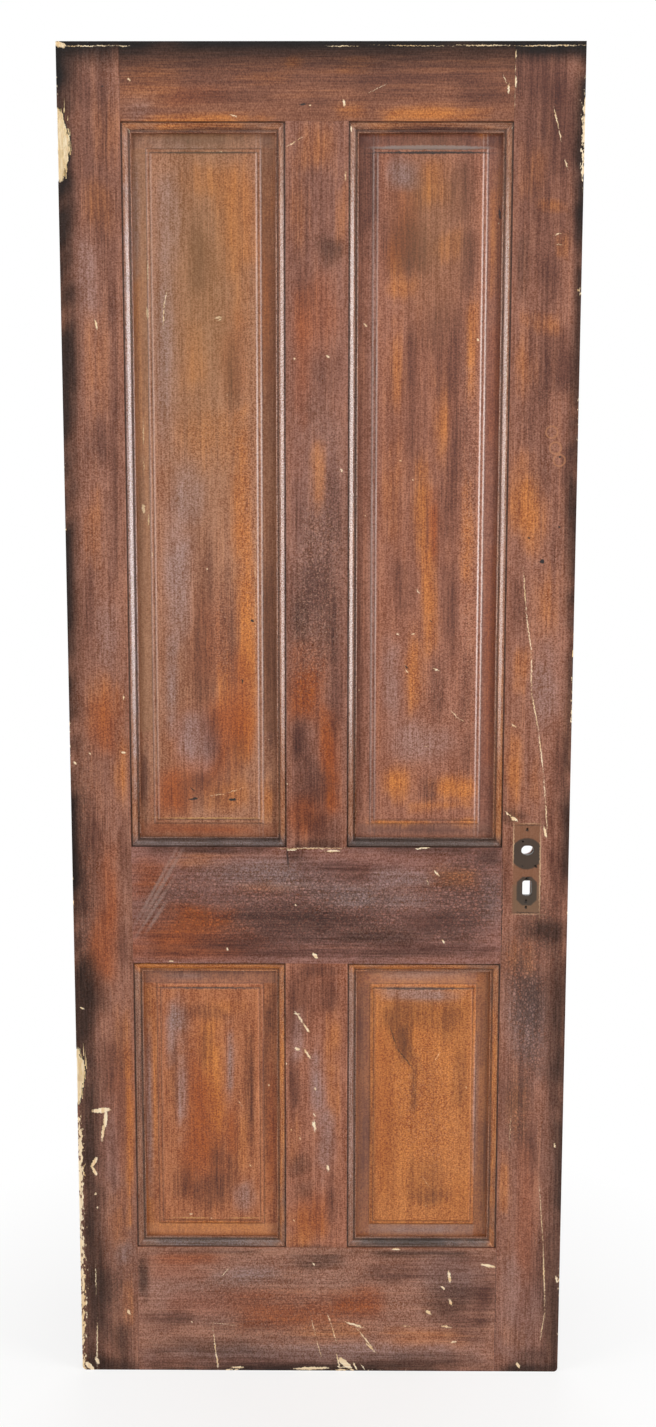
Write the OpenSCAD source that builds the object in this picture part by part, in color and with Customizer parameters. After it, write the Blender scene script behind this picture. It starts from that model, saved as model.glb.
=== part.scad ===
// Four-panel interior door leaf: stiles, rails and muntins joined by wedged mortise and tenon,
// raised and fielded panels floating in grooves, and mitred bead mouldings planted round each
// panel on both faces. The leaf has been taken off its hinges and its lock has been removed.
// X runs from the hinge edge to the lock edge, Z is up, and the front face looks along -Y.

/* [Leaf] */
// Width of the leaf, from hinge edge to lock edge
leaf_w = 762; // [720:1:900]
// Height of the leaf
leaf_h = 2032; // [1960:1:2150]
// Thickness of the stiles, rails and muntins
leaf_t = 35; // [33:0.5:45]
// Radius worn on the two bottom corners
foot_r = 7; // [2:0.5:12]

/* [Stiles, rails and muntins] */
// Width of the stile that carries the hinges
hinge_stile_w = 91; // [80:1:120]
// Width of the stile that held the lock
lock_stile_w = 102; // [98:1:125]
// Height of the top rail
top_rail_h = 110; // [95:1:140]
// Height of the lock rail
lock_rail_h = 183; // [170:1:220]
// Height of the lock rail's lower edge above the floor edge
lock_rail_z = 672; // [640:1:680]
// Height of the bottom rail
bottom_rail_h = 208; // [190:1:260]
// Width of the muntin between the two tall panels
upper_muntin_w = 92; // [70:1:120]
// Width of the muntin between the two short panels
lower_muntin_w = 96; // [70:1:120]

/* [Joinery] */
// Width of the panel groove, which is also the width of the mortises
groove_w = 11.4; // [9:0.2:13]
// Depth of the panel groove
groove_d = 11; // [8:0.5:14]
// Gap round each tenon in its mortise
joint_clear = 0.2; // [0.1:0.05:0.4]
// Wood left between a tenon and the nearest panel groove
tenon_shoulder = 8; // [4:0.5:12]
// Height of each of the two tenons on the lock rail
lock_tenon_h = 45; // [35:1:48]
// Height of each of the two tenons on the bottom rail
bottom_tenon_h = 55; // [40:1:60]
// Wood left between a tenon and the leaf's top or bottom edge
end_horn = 28; // [15:1:32]
// Length of the muntins' stub tenons
muntin_tenon_l = 35; // [20:1:45]
// Height of a wedge at the leaf's edge
wedge_h = 4.5; // [3:0.5:6]
// Length of a wedge
wedge_l = 55; // [35:1:65]

/* [Panels] */
// Thickness of a panel across its raised fields
panel_t = 22; // [20:0.5:26]
// Gap beside a panel's edge in its groove
panel_clear = 0.3; // [0.1:0.05:0.6]
// Room left for a panel to swell, beyond its edge
panel_play = 2; // [1:0.5:4]
// Width of the sloping margin between moulding and raised field
margin_w = 20.5; // [14:0.5:30]
// Width of each of the two risers round a field
riser_w = 3; // [2:0.5:4]
// Height of each riser
riser_h = 1.9; // [1:0.1:2.2]
// Width of the flat step between the two risers
step_w = 3; // [2:0.5:5]

/* [Mouldings] */
// Width of a moulding strip
moulding_w = 14.5; // [13.5:0.5:18]
// How far the top of the moulding lies below the stile's face
moulding_drop = 1; // [0.5:0.1:2]
// Gap between a moulding and the panel that it covers
moulding_clear = 0.2; // [0.1:0.05:0.5]
// Width of the quirk beside the stile or rail
quirk_w = 2.4; // [1.5:0.1:3]
// Depth of the quirk below the top of the moulding
quirk_d = 2.4; // [1.5:0.1:3]
// Width of the rounded face
ovolo_w = 7.2; // [6:0.1:8]
// Fall of the rounded face over its width
ovolo_fall = 5; // [4:0.1:5.5]
// Radius of the rounded face
ovolo_r = 19.5; // [10:0.5:30]
// Depth of the groove between the rounded face and the inner bead
bead_groove_d = 1.2; // [0.6:0.1:1.8]
// Radius of the inner bead
bead_r = 1.1; // [0.7:0.1:1.5]
// Half the opening of each mitre
mitre_gap = 0.1; // [0.05:0.05:0.4]

/* [Hinge gains] */
// Height of the upper hinge's middle
upper_hinge_z = 1888; // [1800:1:1890]
// Height of the lower hinge's middle
lower_hinge_z = 492; // [300:1:560]
// Height of a hinge leaf
hinge_h = 89; // [75:1:92]
// Width of a hinge leaf in the edge, measured from the back face
hinge_w = 30; // [24:1:31]
// Depth of the recess for a hinge leaf
hinge_recess = 2.5; // [1.5:0.1:4]
// Height between the outer two screws of a hinge leaf
hinge_screw_span = 64; // [50:1:70]
// Distance of the middle screw behind the line of the outer two
hinge_screw_stagger = 8; // [4:0.5:10]
// Diameter of a hinge screw's pilot hole
hinge_screw_dia = 3.5; // [2.5:0.1:4.5]
// Depth of a hinge screw's pilot hole
hinge_screw_l = 25; // [15:1:35]
// Depth of the wood torn from the front arris beside each hinge
tear_d = 3.5; // [1:0.1:4.5]

/* [Lock] */
// Height of the lock case's middle
lock_z = 818; // [800:1:830]
// Distance from the lock edge to the knob's axis
backset = 63; // [50:1:70]
// Height of the lock pocket
pocket_h = 92; // [80:1:100]
// Depth of the lock pocket from the edge
pocket_d = 86; // [76:1:89]
// Width of the lock pocket
pocket_t = 16; // [12:0.5:18]
// Wood left between the lock pocket and the short tenon behind it
pocket_wall = 4; // [2:0.5:6]
// Height of the recess for the lock's faceplate
faceplate_h = 140; // [124:1:144]
// Width of the recess for the lock's faceplate
faceplate_w = 22; // [19:0.5:28]
// Depth of the recess for the lock's faceplate
faceplate_d = 3; // [1.5:0.1:5]
// Height between the two faceplate screws
faceplate_screw_span = 116; // [108:1:118]
// Depth of the faceplate screws' pilot holes
faceplate_screw_l = 20; // [12:1:30]
// Diameter of the small pilot holes round the lock
pilot_dia = 3.2; // [2:0.1:4]
// Depth of the small pilot holes round the lock
pilot_l = 8; // [5:0.5:9]
// Height of the knob's axis above the lock's middle
knob_rise = 33; // [25:1:36]
// Height of the worn knob hole in the front face
knob_hole_h = 15; // [10:0.5:20]
// Width of the worn knob hole in the front face
knob_hole_w = 19.5; // [15:0.5:26]
// Diameter of the knob hole in the back face
knob_back_dia = 25; // [18:0.5:28]
// Distance of the keyhole's middle below the lock's middle
key_drop = 26; // [20:1:30]
// Width of the keyhole cut out of the front face
keyhole_w = 14.5; // [10:0.5:17]
// Height of the keyhole cut out of the front face
keyhole_h = 24; // [18:0.5:28]
// Radius of the keyhole's corners
keyhole_r = 4; // [2:0.5:5]
// Width that the keyhole gains in the back face
keyhole_spread_w = 4; // [0:0.5:8]
// Height that the keyhole gains in the back face, all of it downwards
keyhole_spread_h = 8; // [0:0.5:10]
// Height between the two screws of the missing knob plate
plate_screw_span = 122; // [110:1:130]
// Height of the knob plate's upper screw above the knob's axis
plate_screw_rise = 34; // [30:1:40]

/* [Hidden] */
$fn = 64;
past = 1;

x_hinge = -leaf_w / 2;
x_lock = leaf_w / 2;
x_left = x_hinge + hinge_stile_w;
x_right = x_lock - lock_stile_w;
x_mid = (x_left + x_right) / 2;
y_front = -leaf_t / 2;
y_back = leaf_t / 2;

lock_rail_top = lock_rail_z + lock_rail_h;
top_rail_z = leaf_h - top_rail_h;

tenon_t = groove_w - 2 * joint_clear;
tongue_t = groove_w - 2 * panel_clear;
tongue_l = groove_d - panel_play;
short_tenon_l = lock_stile_w - pocket_d - pocket_wall;

x_knob = x_lock - backset;
z_knob = lock_z + knob_rise;
z_key = lock_z - key_drop;

// Each pane is a panel opening: its name, lower left corner and upper right corner.
PANES = [
    ["upper_hinge", [x_left, lock_rail_top], [x_mid - upper_muntin_w / 2, top_rail_z]],
    ["upper_lock", [x_mid + upper_muntin_w / 2, lock_rail_top], [x_right, top_rail_z]],
    ["lower_hinge", [x_left, bottom_rail_h], [x_mid - lower_muntin_w / 2, lock_rail_z]],
    ["lower_lock", [x_mid + lower_muntin_w / 2, bottom_rail_h], [x_right, lock_rail_z]]
];
FACES = ["front", "back"];
SIDES = ["bottom", "lock_side", "top", "hinge_side"];

// Each tenon is its lower and upper height.
TOP_TENON = [top_rail_z + groove_d + tenon_shoulder, leaf_h - end_horn];
LOCK_TENON_LOW = lock_rail_z + groove_d + tenon_shoulder;
LOCK_TENON_HIGH = lock_rail_top - groove_d - tenon_shoulder;
LOCK_TENONS = [
    [LOCK_TENON_LOW, LOCK_TENON_LOW + lock_tenon_h],
    [LOCK_TENON_HIGH - lock_tenon_h, LOCK_TENON_HIGH]
];
BOTTOM_TENON_HIGH = bottom_rail_h - groove_d - tenon_shoulder;
BOTTOM_TENONS = [
    [end_horn, end_horn + bottom_tenon_h],
    [BOTTOM_TENON_HIGH - bottom_tenon_h, BOTTOM_TENON_HIGH]
];
HINGE_TENONS = concat([TOP_TENON], LOCK_TENONS, BOTTOM_TENONS);
LOCK_SIDE_TENONS = concat([TOP_TENON, LOCK_TENONS[0]], BOTTOM_TENONS);

// Torn strips beside a hinge: lower end and upper end from the hinge's middle, and width.
UPPER_TEAR = [[-50, 52, 12], [-42, 36, 16], [-14, 24, 20]];
LOWER_TEAR = [[-46, 42, 9], [-34, 34, 12], [-10, 24, 16]];

// Pilot holes of two lost sets of fittings, from the knob's axis: across and up.
ROSETTE_PILOTS = [[-7.5, 14], [12, -24]];
KEYPLATE_PILOTS = [[-1.5, -44], [-1, -78]];
PLATE_PILOT_X = -1;

function moulding_name(pane, face, side) = str(face, "_", pane, "_", side, "_moulding");

STILE_COLOUR = "#6a4438";
RAIL_COLOUR = "#714b40";
MUNTIN_COLOUR = "#76493a";
TALL_PANEL_COLOUR = "#8a5d44";
SHORT_PANEL_COLOUR = "#a2643c";
MOULDING_COLOUR = "#86685a";
WEDGE_COLOUR = "#c9a877";

// A flat board between two corners of the face, centred in the leaf's thickness.
module board(x0, z0, x1, z1, t) {
    translate([x0, -t / 2, z0])
        cube([x1 - x0, t, z1 - z0]);
}

// An outline drawn on the face, as a slab of the given thickness.
module slab(t) {
    rotate([90, 0, 0])
        linear_extrude(height = t, center = true)
            children();
}

// A round hole through the leaf's thickness between two depths.
module face_hole(x, z, dia, y0, y1) {
    translate([x, y0, z])
        rotate([-90, 0, 0])
            cylinder(d = dia, h = y1 - y0);
}

// A round hole along X, from x0 to x1.
module edge_hole(x0, x1, y, z, dia) {
    translate([x0, y, z])
        rotate([0, 90, 0])
            cylinder(d = dia, h = x1 - x0);
}

// The groove that a stile carries beside one pane, long enough for the panel's corners.
module stile_groove(x0, x1, z0, z1) {
    board(x0, z0 - groove_d, x1, z1 + groove_d, groove_w);
}

// The outline of one wedge: from the tenon's face at the leaf's edge, inwards.
module wedge_outline(x_edge, inwards, z, upwards) {
    polygon([
        [x_edge, z],
        [x_edge + inwards * wedge_l, z],
        [x_edge, z + upwards * wedge_h]
    ]);
}

// The pair of wedges that spread one tenon.
module wedge_pair(x_edge, inwards, tenon, t) {
    slab(t) wedge_outline(x_edge, inwards, tenon[1], 1);
    slab(t) wedge_outline(x_edge, inwards, tenon[0], -1);
}

// A through mortise for one tenon, flared at the edge for its wedges.
module mortise(x0, x1, x_edge, inwards, tenon) {
    board(x0, tenon[0] - joint_clear, x1, tenon[1] + joint_clear, groove_w);
    wedge_pair(x_edge, inwards, tenon, groove_w);
}

// What is worn off a bottom corner of the leaf.
module worn_corner(x_edge, inwards) {
    difference() {
        board(
            min(x_edge - inwards * past, x_edge + inwards * foot_r), -past,
            max(x_edge - inwards * past, x_edge + inwards * foot_r), foot_r,
            leaf_t + 2 * past
        );
        face_hole(x_edge + inwards * foot_r, foot_r, 2 * foot_r, y_front - 2 * past, y_back + 2 * past);
    }
}

// The recess and pilot holes of one hinge leaf, open at the back face.
module hinge_gain(z) {
    y_screws = y_back - hinge_w / 2;
    translate([x_hinge - past, y_back - hinge_w, z - hinge_h / 2])
        cube([hinge_recess + past, hinge_w + past, hinge_h]);
    for (side = [-1, 1])
        edge_hole(x_hinge, x_hinge + hinge_recess + hinge_screw_l, y_screws,
            z + side * hinge_screw_span / 2, hinge_screw_dia);
    edge_hole(x_hinge, x_hinge + hinge_recess + hinge_screw_l, y_screws + hinge_screw_stagger,
        z, hinge_screw_dia);
}

// Splinters torn off the front arris: each strip is deepest at the edge.
module hinge_tear(z, strips) {
    for (strip = strips)
        translate([x_hinge, y_front, z + strip[0]])
            linear_extrude(height = strip[1] - strip[0])
                polygon([
                    [-past, -past],
                    [strip[2], -past],
                    [strip[2], 0],
                    [0, tear_d],
                    [-past, tear_d]
                ]);
}

module hinge_stile() {
    color(STILE_COLOUR)
        difference() {
            board(x_hinge, 0, x_left, leaf_h, leaf_t);
            stile_groove(x_left - groove_d, x_left + past, lock_rail_top, top_rail_z);
            stile_groove(x_left - groove_d, x_left + past, bottom_rail_h, lock_rail_z);
            for (tenon = HINGE_TENONS)
                mortise(x_hinge - past, x_left + past, x_hinge, 1, tenon);
            hinge_gain(upper_hinge_z);
            hinge_gain(lower_hinge_z);
            hinge_tear(upper_hinge_z, UPPER_TEAR);
            hinge_tear(lower_hinge_z, LOWER_TEAR);
            worn_corner(x_hinge, 1);
        }
}

// A recess in the lock edge, centred on the lock's height.
module edge_recess(deep, h, t) {
    board(x_lock - deep, lock_z - h / 2, x_lock + past, lock_z + h / 2, t);
}

// The pocket that held the lock case, with its faceplate recess and screw holes in the edge.
module lock_pocket() {
    edge_recess(pocket_d, pocket_h, pocket_t);
    edge_recess(faceplate_d, faceplate_h, faceplate_w);
    for (side = [-1, 1])
        edge_hole(x_lock - faceplate_d - faceplate_screw_l, x_lock, 0,
            lock_z + side * faceplate_screw_span / 2, pilot_dia);
}

// An oval with round ends, lying across the face.
module oval(x, z, w, h) {
    reach = (w - h) / 2;
    translate([x - reach, z - h / 2])
        square([2 * reach, h]);
    for (side = [-1, 1])
        translate([x + side * reach, z])
            circle(d = h);
}

// A cut right through the front wall of the lock pocket.
module front_cut() {
    translate([0, y_front / 2 - past, 0])
        slab(leaf_t / 2 + 2 * past)
            children();
}

// A cut right through the back wall of the lock pocket.
module back_cut() {
    translate([0, y_back / 2 + past, 0])
        slab(leaf_t / 2 + 2 * past)
            children();
}

// The knob hole: worn to an oval in the front wall of the pocket, round in the back wall.
module knob_hole() {
    front_cut()
        oval(x_knob, z_knob, knob_hole_w, knob_hole_h);
    face_hole(x_knob, z_knob, knob_back_dia, 0, y_back + past);
}

// A rectangle with rounded corners, centred across and starting at the given top height.
module round_slot(x, z_top, w, h, r) {
    translate([x - w / 2 + r, z_top - h])
        square([w - 2 * r, h]);
    translate([x - w / 2, z_top - h + r])
        square([w, h - 2 * r]);
    for (across = [-1, 1], up = [r - h, -r])
        translate([x + across * (w / 2 - r), z_top + up])
            circle(r = r);
}

// The keyhole: hacked open in the front wall of the pocket and broken out wider in the back wall.
module keyhole() {
    z_top = z_key + keyhole_h / 2;
    front_cut()
        round_slot(x_knob, z_top, keyhole_w, keyhole_h, keyhole_r);
    back_cut()
        round_slot(x_knob, z_top, keyhole_w + keyhole_spread_w, keyhole_h + keyhole_spread_h, keyhole_r);
}

// Pilot holes in the front face, left by a knob plate, an older rosette and an older keyplate.
module face_pilots() {
    for (pilot = concat(ROSETTE_PILOTS, KEYPLATE_PILOTS))
        face_hole(x_knob + pilot[0], z_knob + pilot[1], pilot_dia, y_front - past, y_front + pilot_l);
    for (up = [plate_screw_rise, plate_screw_rise - plate_screw_span])
        face_hole(x_knob + PLATE_PILOT_X, z_knob + up, pilot_dia, y_front - past, y_front + pilot_l);
}

module lock_stile() {
    color(STILE_COLOUR)
        difference() {
            board(x_right, 0, x_lock, leaf_h, leaf_t);
            stile_groove(x_right - past, x_right + groove_d, lock_rail_top, top_rail_z);
            stile_groove(x_right - past, x_right + groove_d, bottom_rail_h, lock_rail_z);
            for (tenon = LOCK_SIDE_TENONS)
                mortise(x_right - past, x_lock + past, x_lock, -1, tenon);
            board(
                x_right - past, LOCK_TENONS[1][0] - joint_clear,
                x_right + short_tenon_l + joint_clear, LOCK_TENONS[1][1] + joint_clear,
                groove_w
            );
            lock_pocket();
            knob_hole();
            keyhole();
            face_pilots();
            worn_corner(x_lock, -1);
        }
}

// The panel groove along one edge of a rail: upwards is 1 for an upper edge and -1 for a lower edge.
module rail_groove(z_edge, upwards) {
    board(
        x_left - past, min(z_edge - upwards * groove_d, z_edge + upwards * past),
        x_right + past, max(z_edge - upwards * groove_d, z_edge + upwards * past),
        groove_w
    );
}

// The mortise for a muntin's stub tenon in one edge of a rail.
module muntin_mortise(z_edge, upwards, muntin_w) {
    half = muntin_w / 2 - groove_d + joint_clear;
    deep = muntin_tenon_l + joint_clear;
    board(
        x_mid - half, min(z_edge - upwards * deep, z_edge + upwards * past),
        x_mid + half, max(z_edge - upwards * deep, z_edge + upwards * past),
        groove_w
    );
}

module top_rail() {
    color(RAIL_COLOUR) {
        difference() {
            board(x_left, top_rail_z, x_right, leaf_h, leaf_t);
            rail_groove(top_rail_z, -1);
            muntin_mortise(top_rail_z, -1, upper_muntin_w);
        }
        board(x_hinge, TOP_TENON[0], x_left, TOP_TENON[1], tenon_t);
        board(x_right, TOP_TENON[0], x_lock, TOP_TENON[1], tenon_t);
    }
}

module lock_rail() {
    color(RAIL_COLOUR) {
        difference() {
            board(x_left, lock_rail_z, x_right, lock_rail_top, leaf_t);
            rail_groove(lock_rail_top, 1);
            rail_groove(lock_rail_z, -1);
            muntin_mortise(lock_rail_top, 1, upper_muntin_w);
            muntin_mortise(lock_rail_z, -1, lower_muntin_w);
        }
        for (tenon = LOCK_TENONS)
            board(x_hinge, tenon[0], x_left, tenon[1], tenon_t);
        board(x_right, LOCK_TENONS[0][0], x_lock, LOCK_TENONS[0][1], tenon_t);
        board(x_right, LOCK_TENONS[1][0], x_right + short_tenon_l, LOCK_TENONS[1][1], tenon_t);
    }
}

module bottom_rail() {
    color(RAIL_COLOUR) {
        difference() {
            board(x_left, 0, x_right, bottom_rail_h, leaf_t);
            rail_groove(bottom_rail_h, 1);
            muntin_mortise(bottom_rail_h, 1, lower_muntin_w);
        }
        for (tenon = BOTTOM_TENONS) {
            board(x_hinge, tenon[0], x_left, tenon[1], tenon_t);
            board(x_right, tenon[0], x_lock, tenon[1], tenon_t);
        }
    }
}

// A muntin between two rails, grooved on both edges, with a stub tenon at each end.
module muntin(w, z0, z1) {
    x0 = x_mid - w / 2;
    x1 = x_mid + w / 2;
    difference() {
        board(x0, z0, x1, z1, leaf_t);
        board(x0 - past, z0 - past, x0 + groove_d, z1 + past, groove_w);
        board(x1 - groove_d, z0 - past, x1 + past, z1 + past, groove_w);
    }
    board(x0 + groove_d, z0 - muntin_tenon_l, x1 - groove_d, z1 + muntin_tenon_l, tenon_t);
}

module upper_muntin() {
    color(MUNTIN_COLOUR)
        muntin(upper_muntin_w, lock_rail_top, top_rail_z);
}

module lower_muntin() {
    color(MUNTIN_COLOUR)
        muntin(lower_muntin_w, bottom_rail_h, lock_rail_z);
}

module hinge_edge_wedges() {
    color(WEDGE_COLOUR)
        for (tenon = HINGE_TENONS)
            wedge_pair(x_hinge, 1, tenon, tenon_t);
}

module lock_edge_wedges() {
    color(WEDGE_COLOUR)
        for (tenon = LOCK_SIDE_TENONS)
            wedge_pair(x_lock, -1, tenon, tenon_t);
}

// The rise from a panel's edge to its field: distance from the edge, and half the thickness there.
FIELD_HALF = panel_t / 2;
MARGIN_START = tongue_l + moulding_w;
MARGIN_END = MARGIN_START + margin_w;
PANEL_RISE = [
    [0, tongue_t / 2],
    [MARGIN_START, tongue_t / 2],
    [MARGIN_END, FIELD_HALF - 2 * riser_h],
    [MARGIN_END + riser_w, FIELD_HALF - riser_h],
    [MARGIN_END + riser_w + step_w, FIELD_HALF - riser_h],
    [MARGIN_END + 2 * riser_w + step_w, FIELD_HALF]
];

// The full cross-section of a panel of the given width, raised on both faces.
module panel_section(w) {
    last = len(PANEL_RISE) - 1;
    polygon(concat(
        [for (p = PANEL_RISE) [p[0], p[1]]],
        [for (i = [last:-1:0]) [w - PANEL_RISE[i][0], PANEL_RISE[i][1]]],
        [for (p = PANEL_RISE) [w - p[0], -p[1]]],
        [for (i = [last:-1:0]) [PANEL_RISE[i][0], -PANEL_RISE[i][1]]]
    ));
}

// A raised and fielded panel: the section across it meets the section up it at mitred corners.
module panel(pane) {
    corner = pane[1] - [tongue_l, tongue_l];
    size = pane[2] - pane[1] + 2 * [tongue_l, tongue_l];
    translate([corner[0], 0, corner[1]])
        intersection() {
            linear_extrude(height = size[1])
                panel_section(size[0]);
            rotate([90, 0, 90])
                linear_extrude(height = size[0])
                    rotate(90)
                        panel_section(size[1]);
        }
}

module tall_panel(pane) {
    color(TALL_PANEL_COLOUR)
        panel(pane);
}

module short_panel(pane) {
    color(SHORT_PANEL_COLOUR)
        panel(pane);
}

// The profile of a moulding: height above the panel runs along x, width from the frame along y.
MOULDING_BASE = tongue_t / 2 + moulding_clear;
MOULDING_TOP = leaf_t / 2 - moulding_drop;
OVOLO_FOOT = MOULDING_TOP - ovolo_fall;
BEAD_FLOOR = OVOLO_FOOT - bead_groove_d;
OVOLO_CHORD = norm([ovolo_w, ovolo_fall]);
OVOLO_MIDDLE = [MOULDING_TOP - ovolo_fall / 2, quirk_w + ovolo_w / 2];
OVOLO_SAG = sqrt(ovolo_r * ovolo_r - OVOLO_CHORD * OVOLO_CHORD / 4);
OVOLO_CENTRE = OVOLO_MIDDLE - OVOLO_SAG * [ovolo_w, ovolo_fall] / OVOLO_CHORD;

module moulding_section() {
    translate([MOULDING_BASE, 0])
        square([BEAD_FLOOR - MOULDING_BASE, moulding_w]);
    translate([MOULDING_BASE, 0])
        square([MOULDING_TOP - quirk_d - MOULDING_BASE, quirk_w + past]);
    intersection() {
        translate([MOULDING_BASE, quirk_w])
            square([MOULDING_TOP - MOULDING_BASE, ovolo_w]);
        translate(OVOLO_CENTRE)
            circle(r = ovolo_r, $fn = 256);
    }
    translate([BEAD_FLOOR, moulding_w - bead_r])
        circle(r = bead_r);
}

// One mitred strip, lying along X from the origin with its width along Z.
module moulding_strip(run, face) {
    toward = face == "front" ? 1 : 0;
    intersection() {
        rotate([90, 0, 90])
            linear_extrude(height = run)
                mirror([toward, 0])
                    moulding_section();
        slab(leaf_t)
            polygon([
                [mitre_gap, 0],
                [run - mitre_gap, 0],
                [run - mitre_gap - moulding_w, moulding_w],
                [mitre_gap + moulding_w, moulding_w]
            ]);
    }
}

// The strip on one side of a pane, taking the sides in turn from the bottom.
module moulding(pane, face, side) {
    turn = search([side], SIDES)[0];
    low = pane[1];
    high = pane[2];
    corner = [low, [high[0], low[1]], high, [low[0], high[1]]][turn];
    size = high - low;
    color(MOULDING_COLOUR)
        translate([corner[0], 0, corner[1]])
            rotate([0, -90 * turn, 0])
                moulding_strip(size[turn % 2], face);
}

hinge_stile();
lock_stile();
top_rail();
lock_rail();
bottom_rail();
upper_muntin();
lower_muntin();
hinge_edge_wedges();
lock_edge_wedges();
tall_panel(PANES[0]);  // upper_hinge_panel
tall_panel(PANES[1]);  // upper_lock_panel
short_panel(PANES[2]);  // lower_hinge_panel
short_panel(PANES[3]);  // lower_lock_panel
for (pane = PANES, face = FACES, side = SIDES)
    moulding(pane, face, side);
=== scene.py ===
# %% [markdown]
# An old four-panel interior door leaf, off its hinges and without its knob and lock. The joinery is
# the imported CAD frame. This lesson dresses it: it softens the arrises, sweeps the mouldings along
# their openings, raises the splinters where the hinges were torn away, and paints a brown varnish
# that a century of hands, soot and knocks has worn through.

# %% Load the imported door
import math

import bmesh
import bpy
import numpy as np
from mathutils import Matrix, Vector


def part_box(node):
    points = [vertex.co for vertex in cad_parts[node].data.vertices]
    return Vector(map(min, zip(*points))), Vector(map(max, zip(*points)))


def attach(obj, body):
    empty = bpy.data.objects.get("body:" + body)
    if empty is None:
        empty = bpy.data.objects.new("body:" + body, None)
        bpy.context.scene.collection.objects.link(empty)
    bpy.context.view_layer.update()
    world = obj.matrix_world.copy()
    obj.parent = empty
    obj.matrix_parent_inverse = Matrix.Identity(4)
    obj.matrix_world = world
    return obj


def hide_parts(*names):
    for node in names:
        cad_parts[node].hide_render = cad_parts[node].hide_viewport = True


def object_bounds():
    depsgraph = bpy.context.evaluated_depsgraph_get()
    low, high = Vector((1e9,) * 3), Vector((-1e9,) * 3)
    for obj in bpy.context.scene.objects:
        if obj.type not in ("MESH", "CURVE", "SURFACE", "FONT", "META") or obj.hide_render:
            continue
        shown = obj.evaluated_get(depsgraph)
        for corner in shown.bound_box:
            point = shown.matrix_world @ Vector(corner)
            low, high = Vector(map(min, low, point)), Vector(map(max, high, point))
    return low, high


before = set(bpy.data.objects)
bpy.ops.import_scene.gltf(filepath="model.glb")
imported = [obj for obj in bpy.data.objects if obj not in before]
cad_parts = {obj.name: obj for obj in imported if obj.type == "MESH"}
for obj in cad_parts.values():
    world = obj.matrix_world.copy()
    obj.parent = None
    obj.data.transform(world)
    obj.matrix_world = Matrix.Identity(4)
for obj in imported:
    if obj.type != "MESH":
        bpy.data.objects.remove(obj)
cad_low, cad_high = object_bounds()
MM = 0.001
LEAF_W = (cad_high.x - cad_low.x) / MM
LEAF_H = (cad_high.z - cad_low.z) / MM
print(f"leaf {LEAF_W:.0f} x {LEAF_H:.0f} mm, {len(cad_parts)} nodes")

# %% [markdown]
# The photograph was taken two metres from the leaf, a little above its middle and tilted down by
# about six degrees, so the sides draw together toward the floor. A camera with no shift keeps that
# convergence. Its place was fitted to corners of the leaf and of its panels.

# %% Camera
CAMERA_PLACE = (0.0214, -2.0114, 1.2864)
CAMERA_TILT = math.radians(83.57)
CAMERA_ROLL = math.radians(-0.08)
CAMERA_TURN = math.radians(0.29)
LENS_MM = 33.4
SENSOR_MM = 36.0

camera_data = bpy.data.cameras.new("photo_camera")
camera_data.sensor_fit = "VERTICAL"
camera_data.sensor_height = SENSOR_MM
camera_data.lens = LENS_MM
camera = bpy.data.objects.new("photo_camera", camera_data)
camera.location = CAMERA_PLACE
camera.rotation_euler = (CAMERA_TILT, CAMERA_ROLL, CAMERA_TURN)
bpy.context.scene.collection.objects.link(camera)
bpy.context.scene.camera = camera
bpy.context.scene.view_settings.view_transform = "Standard"
print("camera at", tuple(camera.location))

# %% [markdown]
# Every colour below is written as the sRGB hex value that a paint card would carry. Blender mixes
# light in linear numbers, so one function turns the hex into linear. Another adds a shader node,
# sets its options and joins its inputs, so that each node of a material reads as one line.


# %% Colours and nodes
def linear(hex_colour, alpha=1.0):
    """The linear RGBA of an sRGB hex colour."""
    channels = [int(hex_colour[i:i + 2], 16) / 255 for i in (1, 3, 5)]
    bent = [c / 12.92 if c <= 0.04045 else ((c + 0.055) / 1.055) ** 2.4 for c in channels]
    return (*bent, alpha)


def add(tree, kind, inputs=None, **settings):
    """One node with its settings; each input takes a value, a socket, or a node's first output."""
    node = tree.nodes.new(kind)
    for name, value in settings.items():
        setattr(node, name, value)
    for key, value in (inputs or {}).items():
        if isinstance(value, bpy.types.Node):
            value = next(o for o in value.outputs if o.enabled)
        if isinstance(value, bpy.types.NodeSocket):
            tree.links.new(value, node.inputs[key])
        else:
            node.inputs[key].default_value = value
    return node


def new_group(name, kind, inputs, outputs):
    """An empty node group with named sockets, and its input and output nodes."""
    tree = bpy.data.node_groups.new(name, kind)
    for direction, sockets in (("INPUT", inputs), ("OUTPUT", outputs)):
        for socket_name, socket_type in sockets.items():
            tree.interface.new_socket(socket_name, in_out=direction,
                                      socket_type="NodeSocket" + socket_type)
    return tree, tree.nodes.new("NodeGroupInput").outputs, tree.nodes.new("NodeGroupOutput")


print("mid grey #808080 is", round(linear("#808080")[0], 3), "in linear light")

# %% [markdown]
# The studio is a white room: a pale floor that keeps a faint shadow under the leaf and fades to
# clean white away from it, and a white world behind. The Light Path node lets the world be white to
# the camera and in mirrors, yet light the scene only a little, so that the lamps do the shaping.

# %% Floor and world
FLOOR_HALF = 6.0
SHADOW_FROM = 0.15
SHADOW_TO = 0.9
SHADOW_SHARE = 0.35
AMBIENT = 0.06

floor_mesh = bpy.data.meshes.new("floor")
corners = [(-FLOOR_HALF, -FLOOR_HALF, 0), (FLOOR_HALF, -FLOOR_HALF, 0),
           (FLOOR_HALF, FLOOR_HALF, 0), (-FLOOR_HALF, FLOOR_HALF, 0)]
floor_mesh.from_pydata(corners, [], [(0, 1, 2, 3)])
floor = bpy.data.objects.new("floor", floor_mesh)
bpy.context.scene.collection.objects.link(floor)

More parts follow.
